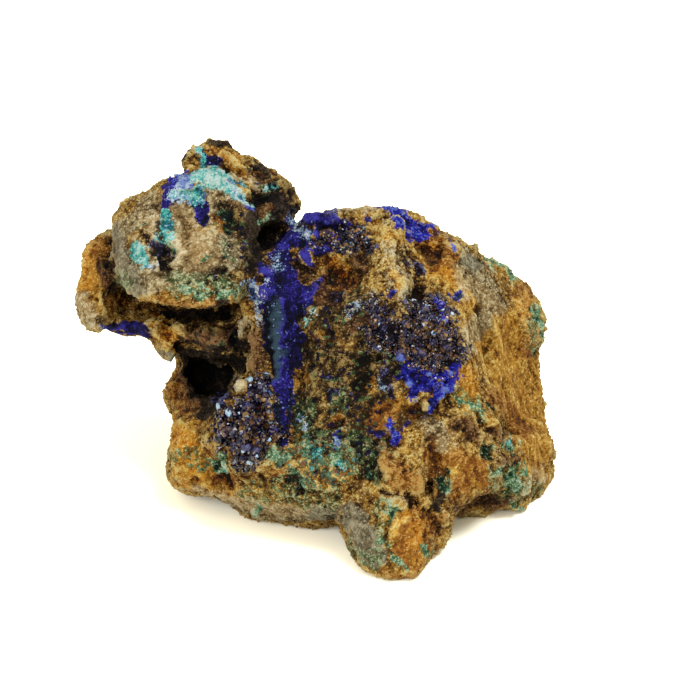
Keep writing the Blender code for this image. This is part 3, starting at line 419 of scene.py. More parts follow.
# The skin's forms: their sizes in millimetres.
CRAG_SIZE = 3.4
BIG_FACETS = 2.3
SMALL_FACETS = 0.95
GRIT_SIZE = 0.75
RIB_WIDTH = 0.6
PIT_SPACING = 2.4
WARP_SIZE = 2.2
STANDING_PROUD = 8  # turns of smoothing that leave out the grit
STANDING_BOLD = 60  # turns that leave out the lumps too

BROAD_BEND = 2  # sizes of the bends in a stroke's outline, in millimetres
FINE_BEND = 0.8
BEND_REACH = 0.8
FADE_ROUND_CORNERS = 1.3  # what a field loses on each millimetre away from what the eye sees
BED_GROWTH = 0.18 * MM  # how far the solids of the crusts grow, so that the skin holds them too
MALACHITE_DRAWS = 20  # what is added to the seed for the nodules, and for the grains
GRAIN_DRAWS = 40

STUDIO_GAIN = 3.3  # how much lighter the studio's light makes a surface look than its own colour
SENSOR_WIDTH = 36
SKY_COLOUR = (1, 0.95, 0.78)
KEY_LIGHT = ((0.2, -0.08, 0.5), 0.25, (0.92, 0.97, 1))  # place and size in metres, and colour
FILL_LIGHT = ((-0.28, -0.42, 0.3), 0.3, (0.96, 0.98, 1))


def seen(red, green, blue):
    """The own colour of a surface that looks like this on a screen, 0 to 255, in the studio."""
    linear = Color((red / 255, green / 255, blue / 255)).from_srgb_to_scene_linear()
    return tuple(channel / STUDIO_GAIN for channel in linear)


# From the darkest grain to the lightest, as seen in the studio.
PALETTES = {
    "ground": ((26, 13, 2), (94, 60, 18), (164, 120, 50), (210, 166, 78), (250, 226, 156)),
    "golden": ((48, 24, 2), (122, 74, 14), (188, 128, 38), (224, 168, 66), (250, 220, 130)),
    "brown": ((12, 6, 2), (50, 30, 10), (98, 66, 28), (144, 106, 56), (204, 172, 116)),
    "olive": ((3, 2, 1), (16, 10, 4), (40, 26, 9), (80, 53, 20), (172, 142, 84)),
    "tan": ((22, 14, 6), (80, 64, 40), (136, 116, 80), (182, 164, 126), (234, 222, 186)),
    "grey": ((54, 50, 38), (104, 98, 78), (138, 130, 106), (166, 156, 130), (200, 192, 166)),
    "pale": ((84, 58, 28), (156, 120, 70), (200, 168, 114), (228, 202, 152), (250, 234, 200)),
    "ochre": ((80, 40, 4), (164, 98, 16), (220, 148, 40), (242, 182, 72), (254, 226, 140)),
    "rust": ((32, 12, 2), (86, 44, 8), (140, 80, 18), (182, 118, 42), (222, 172, 92)),
    "orange": ((84, 36, 4), (164, 88, 12), (222, 140, 34), (244, 176, 64), (254, 224, 144)),
    "umber": ((12, 6, 2), (40, 20, 8), (76, 44, 20), (110, 70, 38), (160, 116, 76)),
    "dark": ((2, 1, 1), (7, 4, 4), (15, 9, 9), (31, 20, 18), (70, 54, 48)),
    "moss": ((8, 16, 8), (34, 50, 26), (76, 96, 54), (126, 146, 96), (206, 222, 178)),
    "malachite": ((8, 24, 16), (31, 68, 46), (78, 128, 92), (134, 178, 138), (210, 236, 202)),
    "navy": ((2, 2, 6), (7, 6, 18), (16, 13, 40), (34, 30, 78), (110, 112, 168)),
    "azurite": ((2, 1, 14), (8, 4, 42), (18, 11, 82), (34, 24, 126), (70, 64, 186)),
    "ultramarine": ((8, 6, 64), (22, 18, 132), (37, 33, 180), (56, 60, 208), (116, 138, 234)),
    "slate": ((3, 5, 20), (9, 16, 42), (20, 34, 62), (36, 55, 78), (60, 84, 100)),
    "cornflower": ((44, 50, 150), (84, 100, 200), (116, 140, 224), (150, 180, 236), (206, 226, 250)),
    "turquoise": ((14, 70, 84), (44, 140, 146), (90, 200, 196), (150, 234, 226), (226, 252, 248)),
    "frost": ((60, 90, 170), (120, 160, 220), (176, 210, 240), (220, 240, 252), (252, 255, 255)),
    "limonite": ((24, 12, 6), (70, 42, 18), (112, 76, 34), (150, 110, 60), (210, 176, 120)),
}


def length_property(name, description, default):
    return FloatProperty(name=name, description=description, default=default, unit="LENGTH")


def colour_property(name, description, default):
    return FloatVectorProperty(
        name=name, description=description, default=default, subtype="COLOR", min=0, max=1
    )


class SpecimenSkin(bpy.types.PropertyGroup):
    cell: length_property("Cell", "Size of the skin's cells", 0.285 * MM)
    crag: length_property("Crag", "Height of the coarse relief", 0.34 * MM)
    facet: length_property("Facet", "Height of the broken facets", 0.22 * MM)
    grit: length_property("Grit", "Height of the fine relief", 0.14 * MM)
    pit: length_property("Pit", "Depth of the small pits", 0.35 * MM)


class SpecimenGrowth(bpy.types.PropertyGroup):
    crystals: FloatProperty(
        name="Crystals", description="Share of the azurite crystals that grow", default=1, min=0
    )
    nodules: FloatProperty(
        name="Nodules", description="Malachite nodules on each square millimetre", default=20
    )
    nodule_width: length_property(
        "Nodule width", "Width of a middling malachite nodule", 0.26 * MM
    )
    grains: IntProperty(
        name="Grains", description="Grains in each of the grain layers", default=9500, min=0
    )
    grain_width: length_property(
        "Grain width", "Width of a middling grain of the coarsest layer", 0.24 * MM
    )
    seed: IntProperty(name="Seed", description="Start of the random draws", default=7)


class SpecimenColours(bpy.types.PropertyGroup):
    rock: colour_property("Rock", "Middle shade of the bare rock", seen(*PALETTES["ground"][2]))
    azurite: colour_property("Azurite", "Middle shade of azurite", seen(*PALETTES["azurite"][2]))
    malachite: colour_property(
        "Malachite", "Middle shade of malachite", seen(*PALETTES["malachite"][2])
    )
    paper: colour_property("Paper", "The floor", (0.98, 0.93, 0.79))


class SpecimenStage(bpy.types.PropertyGroup):
    distance: length_property("Distance", "From the eye to the specimen", 0.6)
    field: length_property("Field", "Width of the picture at the specimen", 0.07)
    sky: FloatProperty(name="Sky", description="Strength of the light all round", default=1.5)
    key: FloatProperty(name="Key", description="Power of the main light in watts", default=4.6)
    fill: FloatProperty(name="Fill", description="Power of the second light", default=2.8)


# Fields on the skin


def layout_of(points):
    """Places in the rock's frame as across, up and out, in millimetres."""
    axes = np.array((ACROSS, UP, OUT)).T
    return (points - np.array(LAYOUT_MIDDLE)) @ axes / MM


def place_of(across, up, out):
    """A place in the rock's frame, from millimetres across, up and out."""
    return LAYOUT_MIDDLE + (ACROSS * across + UP * up + OUT * out) * MM


def depth_inside(places, stroke):
    """How far inside a stroke each place of the picture plane lies, in millimetres."""
    deepest = np.full(len(places), FAR_OUTSIDE)
    ends = stroke if len(stroke) > 1 else stroke * 2
    for (u0, v0, r0), (u1, v1, r1) in zip(ends, ends[1:]):
        start = np.array((u0, v0))
        along = np.array((u1 - u0, v1 - v0))
        part = np.clip((places - start) @ along / max(along @ along, 1e-9), 0, 1)
        gap = np.linalg.norm(places - start - part[:, None] * along, axis=1)
        deepest = np.maximum(deepest, r0 + part * (r1 - r0) - gap)
    return deepest


def bends(points):
    """Small shifts in the picture plane, so that no stroke keeps a smooth outline."""
    shifts = np.empty((len(points), 2))
    for i, point in enumerate(points):
        place = Vector(point) / MM
        bend = noise.noise_vector(place / BROAD_BEND)
        bend += 0.5 * noise.noise_vector(place / FINE_BEND)
        shifts[i] = bend.x, bend.y
    return shifts * BEND_REACH


def vertex_vectors(mesh, name):
    vectors = np.empty(len(mesh.vertices) * 3, np.float32)
    mesh.vertices.foreach_get(name, vectors)
    return vectors.reshape(-1, 3).astype(np.float64)


def points_of(mesh):
    return vertex_vectors(mesh, "co")


def normals_of(mesh):
    return vertex_vectors(mesh, "normal")


def move_points(mesh, points):
    """Moves a mesh's vertices, none of them below the table."""
    points[:, 2] = np.maximum(points[:, 2], 0)
    mesh.vertices.foreach_set("co", points.astype(np.float32).ravel())
    mesh.update()


def seen_by_the_eye(mesh):
    """Which vertices nothing hides from the eye."""
    skin = BVHTree.FromPolygons(
        [vert.co for vert in mesh.vertices], [face.vertices for face in mesh.polygons]
    )
    points = points_of(mesh)
    normals = normals_of(mesh)
    out = np.array(OUT)
    facing = normals @ out > 0.02
    clear_of_skin = 0.1 * MM
    clear_of_grit = 0.25 * MM
    starts = points + normals * clear_of_skin + out * clear_of_grit
    visible = np.zeros(len(points), bool)
    for i in np.flatnonzero(facing):
        visible[i] = skin.ray_cast(Vector(starts[i]), OUT)[0] is None
    return visible


class Stains:
    """The fields of the stains on one mesh, in millimetres inside each stain's edge."""

    def __init__(self, mesh):
        self.points = points_of(mesh)
        self.places = layout_of(self.points)[:, :2] + bends(self.points)
        self.visible = seen_by_the_eye(mesh)
        self.source = np.arange(len(self.points))
        self.away = np.zeros(len(self.points))
        tree = KDTree(int(self.visible.sum()))
        for i in np.flatnonzero(self.visible):
            tree.insert(self.points[i], int(i))
        tree.balance()
        for i in np.flatnonzero(~self.visible):
            _, self.source[i], gap = tree.find(self.points[i])
            self.away[i] = gap / MM

    def of(self, strokes, most=SOLID):
        """The field of some strokes. It fades with the distance from what the eye sees."""
        field = np.full(len(self.points), FAR_OUTSIDE)
        for stroke in strokes:
            field = np.maximum(field, depth_inside(self.places, stroke))
        field = np.minimum(field, most)
        return np.maximum(field[self.source] - FADE_ROUND_CORNERS * self.away, FAR_OUTSIDE)

    def hidden(self, size, share, shift):
        """The field of patches that show only on the hidden side, and fade in beyond its edge."""
        edge = 0.4
        width = 3
        field = np.full(len(self.points), FAR_OUTSIDE)
        for i in np.flatnonzero(self.away > edge):
            place = Vector(self.points[i]) / (size * MM) + shift
            height = noise.fractal(place, 0.9, 2.2, 3, noise_basis="PERLIN_NEW")
            fade = min(1, (self.away[i] - edge) / width)
            field[i] = (height - share) * size * 0.9 - 2 * (1 - fade)
        return np.maximum(field, FAR_OUTSIDE)


def write_fields(mesh, fields):
    for name, values in fields.items():
        layer = mesh.attributes.new(name, "FLOAT", "POINT")
        layer.data.foreach_set("value", np.asarray(values, np.float32))


def read_field(mesh, name):
    values = np.empty(len(mesh.vertices), np.float32)
    mesh.attributes[name].data.foreach_get("value", values)
    return values


def step(values, low, high):
    part = np.clip((values - low) / (high - low), 0, 1)
    return part * part * (3 - 2 * part)


# The rock


def merged_solid(name, growth):
    """A copy of a solid with its doubles merged, grown outwards a little."""
    bm = bmesh.new()
    bm.from_mesh(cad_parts[name].data)
    bmesh.ops.remove_doubles(bm, verts=bm.verts, dist=0.001 * MM)
    bm.normal_update()
    for vert in bm.verts:
        vert.co += vert.normal * growth
    mesh = bpy.data.meshes.new(name)
    bm.to_mesh(mesh)
    bm.free()
    return mesh


def add_lump(bm, middle, radius, seed):
    made = bmesh.ops.create_icosphere(
        bm, subdivisions=3, radius=radius, matrix=Matrix.Translation(middle)
    )
    for vert in made["verts"]:
        away = vert.co - middle
        crag = noise.noise(away / radius * 1.3 + Vector((seed * 7.3, 0, 0)))
        vert.co = middle + away * (1 + 0.35 * crag)


def add_lumps(bm, skin):
    """Adds the small lumps, each on the skin below its stroke."""
    far = 60 * MM
    for order, (lift, stroke) in enumerate(LUMPS):
        for u, v, r in stroke:
            hit, normal, _, _ = skin.ray_cast(place_of(u, v, 0) + OUT * far, -OUT)
            if hit is None:
                hit, _, _, _ = skin.find_nearest(place_of(u, v, 0))
                normal = (place_of(u, v, 0) - hit).normalized()
            add_lump(bm, hit + normal * lift * r * MM, r * MM, order + u)


def whole_skin(cell):
    """One fine skin round the rock, its lumps and the beds of its crusts."""
    bm = bmesh.new()
    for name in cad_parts:
        mesh = merged_solid(name, 0 if name == "matrix" else BED_GROWTH)
        bm.from_mesh(mesh)
        bpy.data.meshes.remove(mesh)
    add_lumps(bm, BVHTree.FromBMesh(bm))
    mesh = bpy.data.meshes.new("rock")
    bm.to_mesh(mesh)
    bm.free()
    rock = bpy.data.objects.new("rock", mesh)
    bpy.context.scene.collection.objects.link(rock)
    remesh = rock.modifiers.new("Skin", "REMESH")
    remesh.mode = "VOXEL"
    remesh.voxel_size = cell
    soften = rock.modifiers.new("Soften", "SMOOTH")
    soften.factor = 0.5
    soften.iterations = 4
    apply_modifiers(rock)
    return rock


def apply_modifiers(obj):
    graph = bpy.context.evaluated_depsgraph_get()
    mesh = bpy.data.meshes.new_from_object(obj.evaluated_get(graph))
    obj.modifiers.clear()
    obj.data = mesh


def facets(place, size):
    """Broken facets of one size, each with its own tilt and height, about from -1 to 1."""
    middle = noise.voronoi(place / size)[1][0]
    chance = noise.cell_vector(middle * 917) * 2 - Vector((1, 1, 1))
    return 1.3 * chance.dot(place / size - middle) + 0.45 * chance.x


def relief(place, settings, calm, fibre):
    """How far the skin moves outwards at a place, in metres. Fibres draw its forms out upwards."""
    squeezed = Vector((place.x, place.y, place.z * (1 - 0.7 * fibre)))
    warp = noise.noise_vector(place / (WARP_SIZE * MM)) * 0.5 * MM
    crag = noise.ridged_multi_fractal(
        squeezed / (CRAG_SIZE * MM), 0.9, 2.1, 4, 0.9, 1.8, noise_basis="PERLIN_NEW"
    )
    grit = noise.fractal(squeezed / (GRIT_SIZE * MM), 0.7, 2.2, 3, noise_basis="PERLIN_NEW")
    big = facets(squeezed + warp, BIG_FACETS * MM)
    small = facets(squeezed + warp * 0.6, SMALL_FACETS * MM)
    spots = noise.voronoi((place + warp) / (PIT_SPACING * MM))[0][0]
    pit = max(0, 1 - spots / 0.3)
    ribs = noise.noise(squeezed / (RIB_WIDTH * MM), noise_basis="PERLIN_NEW") * fibre
    return calm * (
        settings.crag * (crag - 1.25) * 0.6
        + settings.facet * (0.6 * big + 0.4 * small) * (1 - 0.5 * fibre)
        + settings.grit * (grit + 0.9 * ribs)
        - settings.pit * pit * pit
    )


def standing_out(mesh, points, turns):
    """How far each vertex stands out from the skin when that is smoothed."""
    edges = np.empty(len(mesh.edges) * 2, np.int32)
    mesh.edges.foreach_get("vertices", edges)
    first, second = edges.reshape(-1, 2).T
    count = len(points)
    degree = np.bincount(first, minlength=count) + np.bincount(second, minlength=count)
    smooth = points.copy()
    for _ in range(turns):
        for axis in range(3):
            values = smooth[:, axis]
            total = np.bincount(first, values[second], count)
            total += np.bincount(second, values[first], count)
            smooth[:, axis] = 0.5 * values + 0.5 * total / np.maximum(degree, 1)
    return ((points - smooth) * normals_of(mesh)).sum(axis=1)


def roughen(mesh, settings, stains):
    """Carves the skin and gives it its relief, calmer on velvet, smooth faces and tan rock."""
    points = points_of(mesh)
    normals = normals_of(mesh)
    for height, stroke in CARVINGS:
        inside = stains.of((stroke,))
        radius = max(r for _, _, r in stroke)
        points += normals * (step(inside, -0.5 * radius, 0.8 * radius) * height * MM)[:, None]
    move_points(mesh, points)
    normals = normals_of(mesh)
    velvet = step(stains.of(STAINS["azurite"][1]), -0.3, 0.5)
    smooth = step(stains.of(SMOOTH), -0.4, 0.6)
    fibre = step(stains.of(FIBRES), -0.5, 0.8)
    head = step(stains.of(STAINS["tan"][1]), -0.3, 0.8)
    calm = (1 - 0.55 * velvet) * (1 - 0.6 * smooth) * (1 - 0.35 * head)
    for i, point in enumerate(points):
        points[i] += normals[i] * relief(Vector(point), settings, calm[i], fibre[i])
    move_points(mesh, points)


def all_fields(stains):
    """Every field that the materials and the scattering read."""
    fields = {}
    for order, (name, (most, strokes)) in enumerate(STAINS.items()):
        fields[name] = stains.of(strokes, most)
        if name in HIDDEN_STAINS:
            size, share = HIDDEN_STAINS[name]
            patches = stains.hidden(size, share, Vector((11.7, 3.1, 5.3)) * (order + 1))
            fields[name] = np.maximum(fields[name], np.minimum(patches, most))
    for name, (_, _, _, stroke) in DRUSES.items():
        fields[name] = stains.of((stroke,))
    fields["malachite_crust"] = stains.of((MALACHITE_CRUST,))
    fields["smooth"] = stains.of(SMOOTH)
    fields["fibre"] = step(stains.of(FIBRES), -0.5, 0.8)
    return fields


# Growth on the rock


def copied_over(name, bases, matrices):
    """One mesh with a copy of a base for each matrix, the bases taken in turn."""
    shapes = []
    for base in bases:
        base.calc_loop_triangles()
        faces = np.array([triangle.vertices for triangle in base.loop_triangles])
        shapes.append((np.c_[points_of(base), np.ones(len(base.vertices))], faces))
    points = []
    faces = []
    start = 0
    for order, matrix in enumerate(matrices):
        shape, corners = shapes[order % len(shapes)]
        points.append(shape @ np.array(matrix).T[:, :3])
        faces.append(corners + start)
        start += len(shape)
    mesh = bpy.data.meshes.new(name)
    mesh.from_pydata(np.concatenate(points), [], np.concatenate(faces))
    return mesh


def blade(sides, flat, tip):
    """An azurite crystal one unit long: a flat prism with a bevelled tip."""
    bm = bmesh.new()
    bmesh.ops.create_cone(
        bm, cap_ends=True, segments=sides, radius1=0.36, radius2=0.4, depth=0.7,
        matrix=Matrix.Diagonal((1, flat, 1, 1)),
    )
    top = max(bm.faces, key=lambda face: face.calc_center_median().z)
    made = bmesh.ops.extrude_discrete_faces(bm, faces=[top])
    bmesh.ops.scale(bm, verts=made["faces"][0].verts, vec=(tip, tip, 1))
    bmesh.ops.translate(bm, verts=made["faces"][0].verts, vec=(0, 0, 0.25))
    bmesh.ops.triangulate(bm, faces=bm.faces)
    mesh = bpy.data.meshes.new("blade")
    bm.to_mesh(mesh)
    bm.free()
    return mesh


def pebble(seed):
    """A lumpy grain one unit wide."""
    bm = bmesh.new()
    bmesh.ops.create_icosphere(bm, subdivisions=1, radius=0.5)
    for vert in bm.verts:
        vert.co *= 1 + 0.45 * noise.noise(vert.co * 3 + Vector((seed * 5.1, 0, 0)))
    mesh = bpy.data.meshes.new("pebble")
    bm.to_mesh(mesh)
    bm.free()
    return mesh


class Ground:
    """The skin as a ground to scatter things on."""

    def __init__(self, mesh):
        mesh.calc_loop_triangles()
        corners = np.empty(len(mesh.loop_triangles) * 3, np.int32)
        mesh.loop_triangles.foreach_get("vertices", corners)
        self.corners = corners.reshape(-1, 3)
        self.points = points_of(mesh)
        self.normals = normals_of(mesh)
        sides = self.points[self.corners]
        cross = np.cross(sides[:, 1] - sides[:, 0], sides[:, 2] - sides[:, 0])
        self.areas = np.linalg.norm(cross, axis=1) / 2 / MM**2
        self.middles = sides.mean(axis=1)

    def on_faces(self, values):
        return values[self.corners].mean(axis=1)

    def patches(self, size):
        """Cloudy change from face to face, about from -1 to 1."""
        return np.array([noise.fractal(Vector(p) / size, 0.8, 2.1, 3) for p in self.middles])

    def scatter(self, density, draws):
        """Random spots, with density as the number wanted on a square millimetre of each face."""
        wanted = self.areas * density
        count = int(wanted.sum())
        faces = draws.choice(len(wanted), count, p=wanted / wanted.sum())
        weights = draws.dirichlet((1, 1, 1), count)
        corners = self.corners[faces]
        places = (self.points[corners] * weights[:, :, None]).sum(axis=1)
        normals = (self.normals[corners] * weights[:, :, None]).sum(axis=1)
        return places, normals, corners[:, 0]


def standing(place, normal, lean, size, draws):
    """Stands a unit shape on the skin, leaning at random."""
    direction = (Vector(normal).normalized() + Vector(draws.normal(0, lean, 3))).normalized()
    turn = direction.to_track_quat("Z", "X").to_matrix().to_4x4()
    spin = Matrix.Rotation(draws.uniform(0, tau), 4, "Z")
    return Matrix.Translation(Vector(place)) @ turn @ spin @ Matrix.Diagonal((*size, 1))


def growth_object(name, bases, matrices, sources, rock, draws):
    """Makes the grown piece, which takes its stains from the skin below it."""
    mesh = copied_over(name, bases, matrices)
    counts = [len(bases[order % len(bases)].vertices) for order in range(len(matrices))]
    origin = np.repeat(sources, counts)
    shared = (*STAINS, "proud", "bold", "fibre")
    fields = {field: read_field(rock.data, field)[origin] for field in shared}
    fields["tint"] = np.repeat(draws.uniform(0, 1, len(matrices)), counts)
    write_fields(mesh, fields)
    move_points(mesh, points_of(mesh))
    obj = bpy.data.objects.new(name, mesh)
    bpy.context.scene.collection.objects.link(obj)
    return obj


def rock_object():
    rock = bpy.data.objects.get("rock")
    if rock is None:
        raise RuntimeError("build the rock first")
    return rock


# Materials


def add(tree, kind, inputs=None, **settings):
    """Adds a node. Each input is given a value or the socket that feeds it."""
    node = tree.nodes.new(kind)
    for name, value in settings.items():
        setattr(node, name, value)
    for key, value in (inputs or {}).items():
        socket = node.inputs[key]
        if isinstance(value, bpy.types.NodeSocket):
            tree.links.new(value, socket)
        elif isinstance(value, tuple) and len(value) == 3 and socket.type == "RGBA":
            socket.default_value = (*value, 1)
        else:
            socket.default_value = value
    return node


def maths(tree, operation, *values, clamp=False):
    inputs = dict(enumerate(values))
    return add(tree, "ShaderNodeMath", inputs, operation=operation, use_clamp=clamp).outputs[0]


def blend(tree, factor, first, second, kind="MIX"):
    node = add(
        tree, "ShaderNodeMix", {0: factor, 6: first, 7: second}, data_type="RGBA",
        blend_type=kind, clamp_factor=True,
    )
    return node.outputs[2]


def attribute(tree, name):
    return add(tree, "ShaderNodeAttribute", attribute_name=name).outputs["Fac"]


def start_material(name):
    """A new material, with its tree, its shader and the places on its piece."""
    material = bpy.data.materials.new(name)
    material.use_nodes = True
    tree = material.node_tree
    where = add(tree, "ShaderNodeTexCoord").outputs["Object"]
    return material, tree, tree.nodes["Principled BSDF"], where


def finish_surface(tree, shader, colour, roughness, specular):
    tree.links.new(colour, shader.inputs["Base Color"])
    shader.inputs["Roughness"].default_value = roughness
    shader.inputs["Specular IOR Level"].default_value = specular


def add_bump(tree, shader, height, strength, distance):
    bump = add(
        tree, "ShaderNodeBump", {"Height": height, "Strength": strength, "Distance": distance}
    )
    tree.links.new(bump.outputs[0], shader.inputs["Normal"])


def palette(tree, shade, name, middle=None):
    """The colours of a palette, picked by a shade from 0 to 1."""
    node = add(tree, "ShaderNodeValToRGB", {"Fac": shade})
    stops = node.color_ramp.elements
    shades = [seen(*colour) for colour in PALETTES[name]]
    if middle is not None:
        shades[len(shades) // 2] = tuple(middle)
    while len(stops) < len(shades):
        stops.new(0.5)
    for order, (stop, colour) in enumerate(zip(stops, shades)):
        stop.position = order / (len(shades) - 1)
        stop.color = (*colour, 1)
    return node.outputs[0]


def new_group(name, inputs, outputs):
    tree = bpy.data.node_groups.new(name, "ShaderNodeTree")
    for label, kind, default in inputs:
        socket = tree.interface.new_socket(label, in_out="INPUT", socket_type=kind)
        if default is not None:
            socket.default_value = default
    for label, kind in outputs:
        tree.interface.new_socket(label, in_out="OUTPUT", socket_type=kind)
    start = tree.nodes.new("NodeGroupInput").outputs
    end = tree.nodes.new("NodeGroupOutput").inputs
    return tree, start, end


def in_millimetres(tree, vector, size):
    """A place divided by a size in millimetres."""
    scale = maths(tree, "DIVIDE", 1 / MM, size)
    return add(
        tree, "ShaderNodeVectorMath", {0: vector, "Scale": scale}, operation="SCALE"
    ).outputs[0]


def cloud_noise(tree, start, detail, roughness):
    """Noise of a group's own size, about 0.5."""
    where = in_millimetres(tree, start["Vector"], start["Size"])
    inputs = {"Vector": where, "Scale": 1.0, "Detail": detail, "Roughness": roughness}
    return add(tree, "ShaderNodeTexNoise", inputs).outputs[0]


def ragged_edge_group():
    """Turns a field into a mask with a ragged edge."""
    tree, start, end = new_group(
        "Ragged edge",
        (
            ("Field", "NodeSocketFloat", 0.0),
            ("Vector", "NodeSocketVector", None),
            ("Size", "NodeSocketFloat", 0.9),
            ("Reach", "NodeSocketFloat", 0.9),
            ("Softness", "NodeSocketFloat", 0.2),
        ),
        (("Mask", "NodeSocketFloat"),),
    )
    cloud = cloud_noise(tree, start, 5.0, 0.75)
    push = maths(tree, "MULTIPLY", maths(tree, "SUBTRACT", cloud, 0.5), start["Reach"])
    pushed = maths(tree, "MULTIPLY_ADD", push, 4.0, start["Field"])
    mask = maths(tree, "DIVIDE", pushed, start["Softness"])
    tree.links.new(maths(tree, "ADD", mask, 0.5, clamp=True), end["Mask"])
    return tree


def grit_group():
    """Grains of one size: a shade for each and their height."""
    tree, start, end = new_group(
        "Grit",
        (("Vector", "NodeSocketVector", None), ("Size", "NodeSocketFloat", 0.3)),
        (("Shade", "NodeSocketFloat"), ("Height", "NodeSocketFloat")),
    )
    where = in_millimetres(tree, start["Vector"], start["Size"])
    swirl = add(tree, "ShaderNodeTexNoise", {"Vector": where, "Scale": 1.3, "Detail": 2.0})
    bent = add(
        tree, "ShaderNodeVectorMath", {0: swirl.outputs[1], 1: (0.8, 0.8, 0.8), 2: where},
        operation="MULTIPLY_ADD",
    ).outputs[0]
    cells = add(tree, "ShaderNodeTexVoronoi", {"Vector": bent, "Scale": 1.0})
    shade = add(tree, "ShaderNodeSeparateColor", {0: cells.outputs["Color"]}).outputs[0]
    tree.links.new(shade, end["Shade"])
    tree.links.new(maths(tree, "SUBTRACT", 1.0, cells.outputs["Distance"]), end["Height"])
    return tree


def mottle_group():
    """Cloudy change between 0 and 1 at many sizes."""
    tree, start, end = new_group(
        "Mottle",
        (
            ("Vector", "NodeSocketVector", None),
            ("Size", "NodeSocketFloat", 3.0),
            ("Contrast", "NodeSocketFloat", 2.0),
        ),
        (("Mask", "NodeSocketFloat"),),
    )
    cloud = cloud_noise(tree, start, 6.0, 0.72)
    spread = maths(tree, "MULTIPLY", maths(tree, "SUBTRACT", cloud, 0.5), start["Contrast"])
    tree.links.new(maths(tree, "ADD", spread, 0.5, clamp=True), end["Mask"])
    return tree


def group_node(tree, name, inputs):
    builders = {"Ragged edge": ragged_edge_group, "Grit": grit_group, "Mottle": mottle_group}
    node = tree.nodes.new("ShaderNodeGroup")
    node.node_tree = bpy.data.node_groups.get(name) or builders[name]()
    for key, value in inputs.items():
        if isinstance(value, bpy.types.NodeSocket):
            tree.links.new(value, node.inputs[key])
        else:
            node.inputs[key].default_value = value
    return node.outputs


def mottle(tree, where, size, contrast):
    """Cloudy change with forms of a size in millimetres."""
    inputs = {"Vector": where, "Size": size, "Contrast": contrast}
    return group_node(tree, "Mottle", inputs)["Mask"]


def stain_mask(tree, where, stain, size, reach, softness):
    """Where a stain lies. Its edge has ragged forms of a size in millimetres."""
    inputs = {
        "Field": attribute(tree, stain), "Vector": where, "Size": size, "Reach": reach,
        "Softness": softness,
    }
    return group_node(tree, "Ragged edge", inputs)["Mask"]


# How each stain lies on the rock: size of its ragged edge, its reach, and its softness, all in
# millimetres, and how much of the rock it hides.
EDGES = {
    "golden": (1.6, 0.9, 0.7, 0.85),
    "olive": (2.0, 0.9, 0.9, 0.95),
    "tan": (1.6, 0.9, 0.7, 0.8),
    "grey": (1.4, 0.6, 0.5, 0.9),
    "pale": (0.8, 0.6, 0.4, 0.8),
    "ochre": (1.2, 0.9, 0.5, 0.85),
    "rust": (1.1, 0.8, 0.4, 0.9),
    "umber": (1.0, 0.7, 0.5, 0.9),
    "dark": (0.7, 0.5, 0.3, 0.95),
    "orange": (0.9, 0.6, 0.3, 0.85),
    "moss": (0.6, 0.8, 0.25, 0.85),
    "malachite": (0.6, 0.7, 0.2, 0.95),
    "navy": (0.6, 0.7, 0.2, 0.95),
    "azurite": (0.7, 0.5, 0.12, 1.0),
    "ultramarine": (0.6, 0.5, 0.12, 1.0),
    "slate": (0.9, 0.3, 0.3, 1.0),
    "cornflower": (0.5, 0.5, 0.2, 0.9),
    "turquoise": (0.5, 0.6, 0.15, 1.0),
    "frost": (0.3, 0.9, 0.12, 1.0),
    "limonite": (0.7, 0.4, 0.15, 1.0),
}


# Clouds in the rock's colour: size of their forms in millimetres, and contrast.
CLOUDS = {
    "broad": (4.0, 2.4),
    "close": (0.9, 2.8),
    "streak": (0.34, 2.6),
    "golden": (2.7, 5.0),
    "brown": (1.7, 6.0),
}
STREAK_STRETCH = (1.0, 1.0, 0.14)  # draws the streaks out upwards
FINE_GRAINS = 0.15  # widths of the grains in the rock's colour, in millimetres
COARSE_GRAINS = 0.36
# How much each part adds to the shade of the rock, in the order that they are added.
SHADE_START = -0.32
SHADE_PARTS = {
    "close": 0.5,
    "fine": 0.36,
    "coarse": 0.3,
    "broad": 0.2,
    "tint": 0.36,
    # proud and bold lighten what stands out of the skin and darken its hollows: painted highlight
    # and painted shade, partly dirt in the hollows
    "proud": 2.3,
    "bold": 0.5,
    "streak": 0.9,
    # glint lightens the rarest lightest fine grains: painted glints
    "glint": 0.5,
}
SHADE_MIDDLE = 0.52
SOFT_ON_GOLD = -0.35  # what golden rock loses of its contrast
# Grains that are flecks of another stain, by the test that their own shade has to pass.
FLECKS = (("GREATER_THAN", 0.93, "moss"), ("LESS_THAN", 0.06, "navy"))
# A fine grain's shade above which azurite shows a painted glint
PAINTED_SPARKLE_LIMIT = 0.985


def rock_shade(tree, where, close, fine, coarse):
    """The rock's shade: dirt and painted shade in hollows, painted highlight on edges and glints,
    fibre streaks.
    """
    stretched = {0: where, 1: STREAK_STRETCH}
    tall = add(tree, "ShaderNodeVectorMath", stretched, operation="MULTIPLY").outputs[0]
    streak = maths(tree, "SUBTRACT", mottle(tree, tall, *CLOUDS["streak"]), 0.5)
    parts = {
        "close": close,
        "fine": fine["Shade"],
        "coarse": coarse["Shade"],
        "broad": mottle(tree, where, *CLOUDS["broad"]),
        "tint": attribute(tree, "tint"),
        "proud": attribute(tree, "proud"),
        "bold": attribute(tree, "bold"),
        "streak": maths(tree, "MULTIPLY", streak, attribute(tree, "fibre")),
        "glint": maths(tree, "POWER", fine["Shade"], 9.0),
    }
    shade = SHADE_START
    for name, weight in SHADE_PARTS.items():
        shade = maths(tree, "MULTIPLY_ADD", parts[name], weight, shade)
    return shade


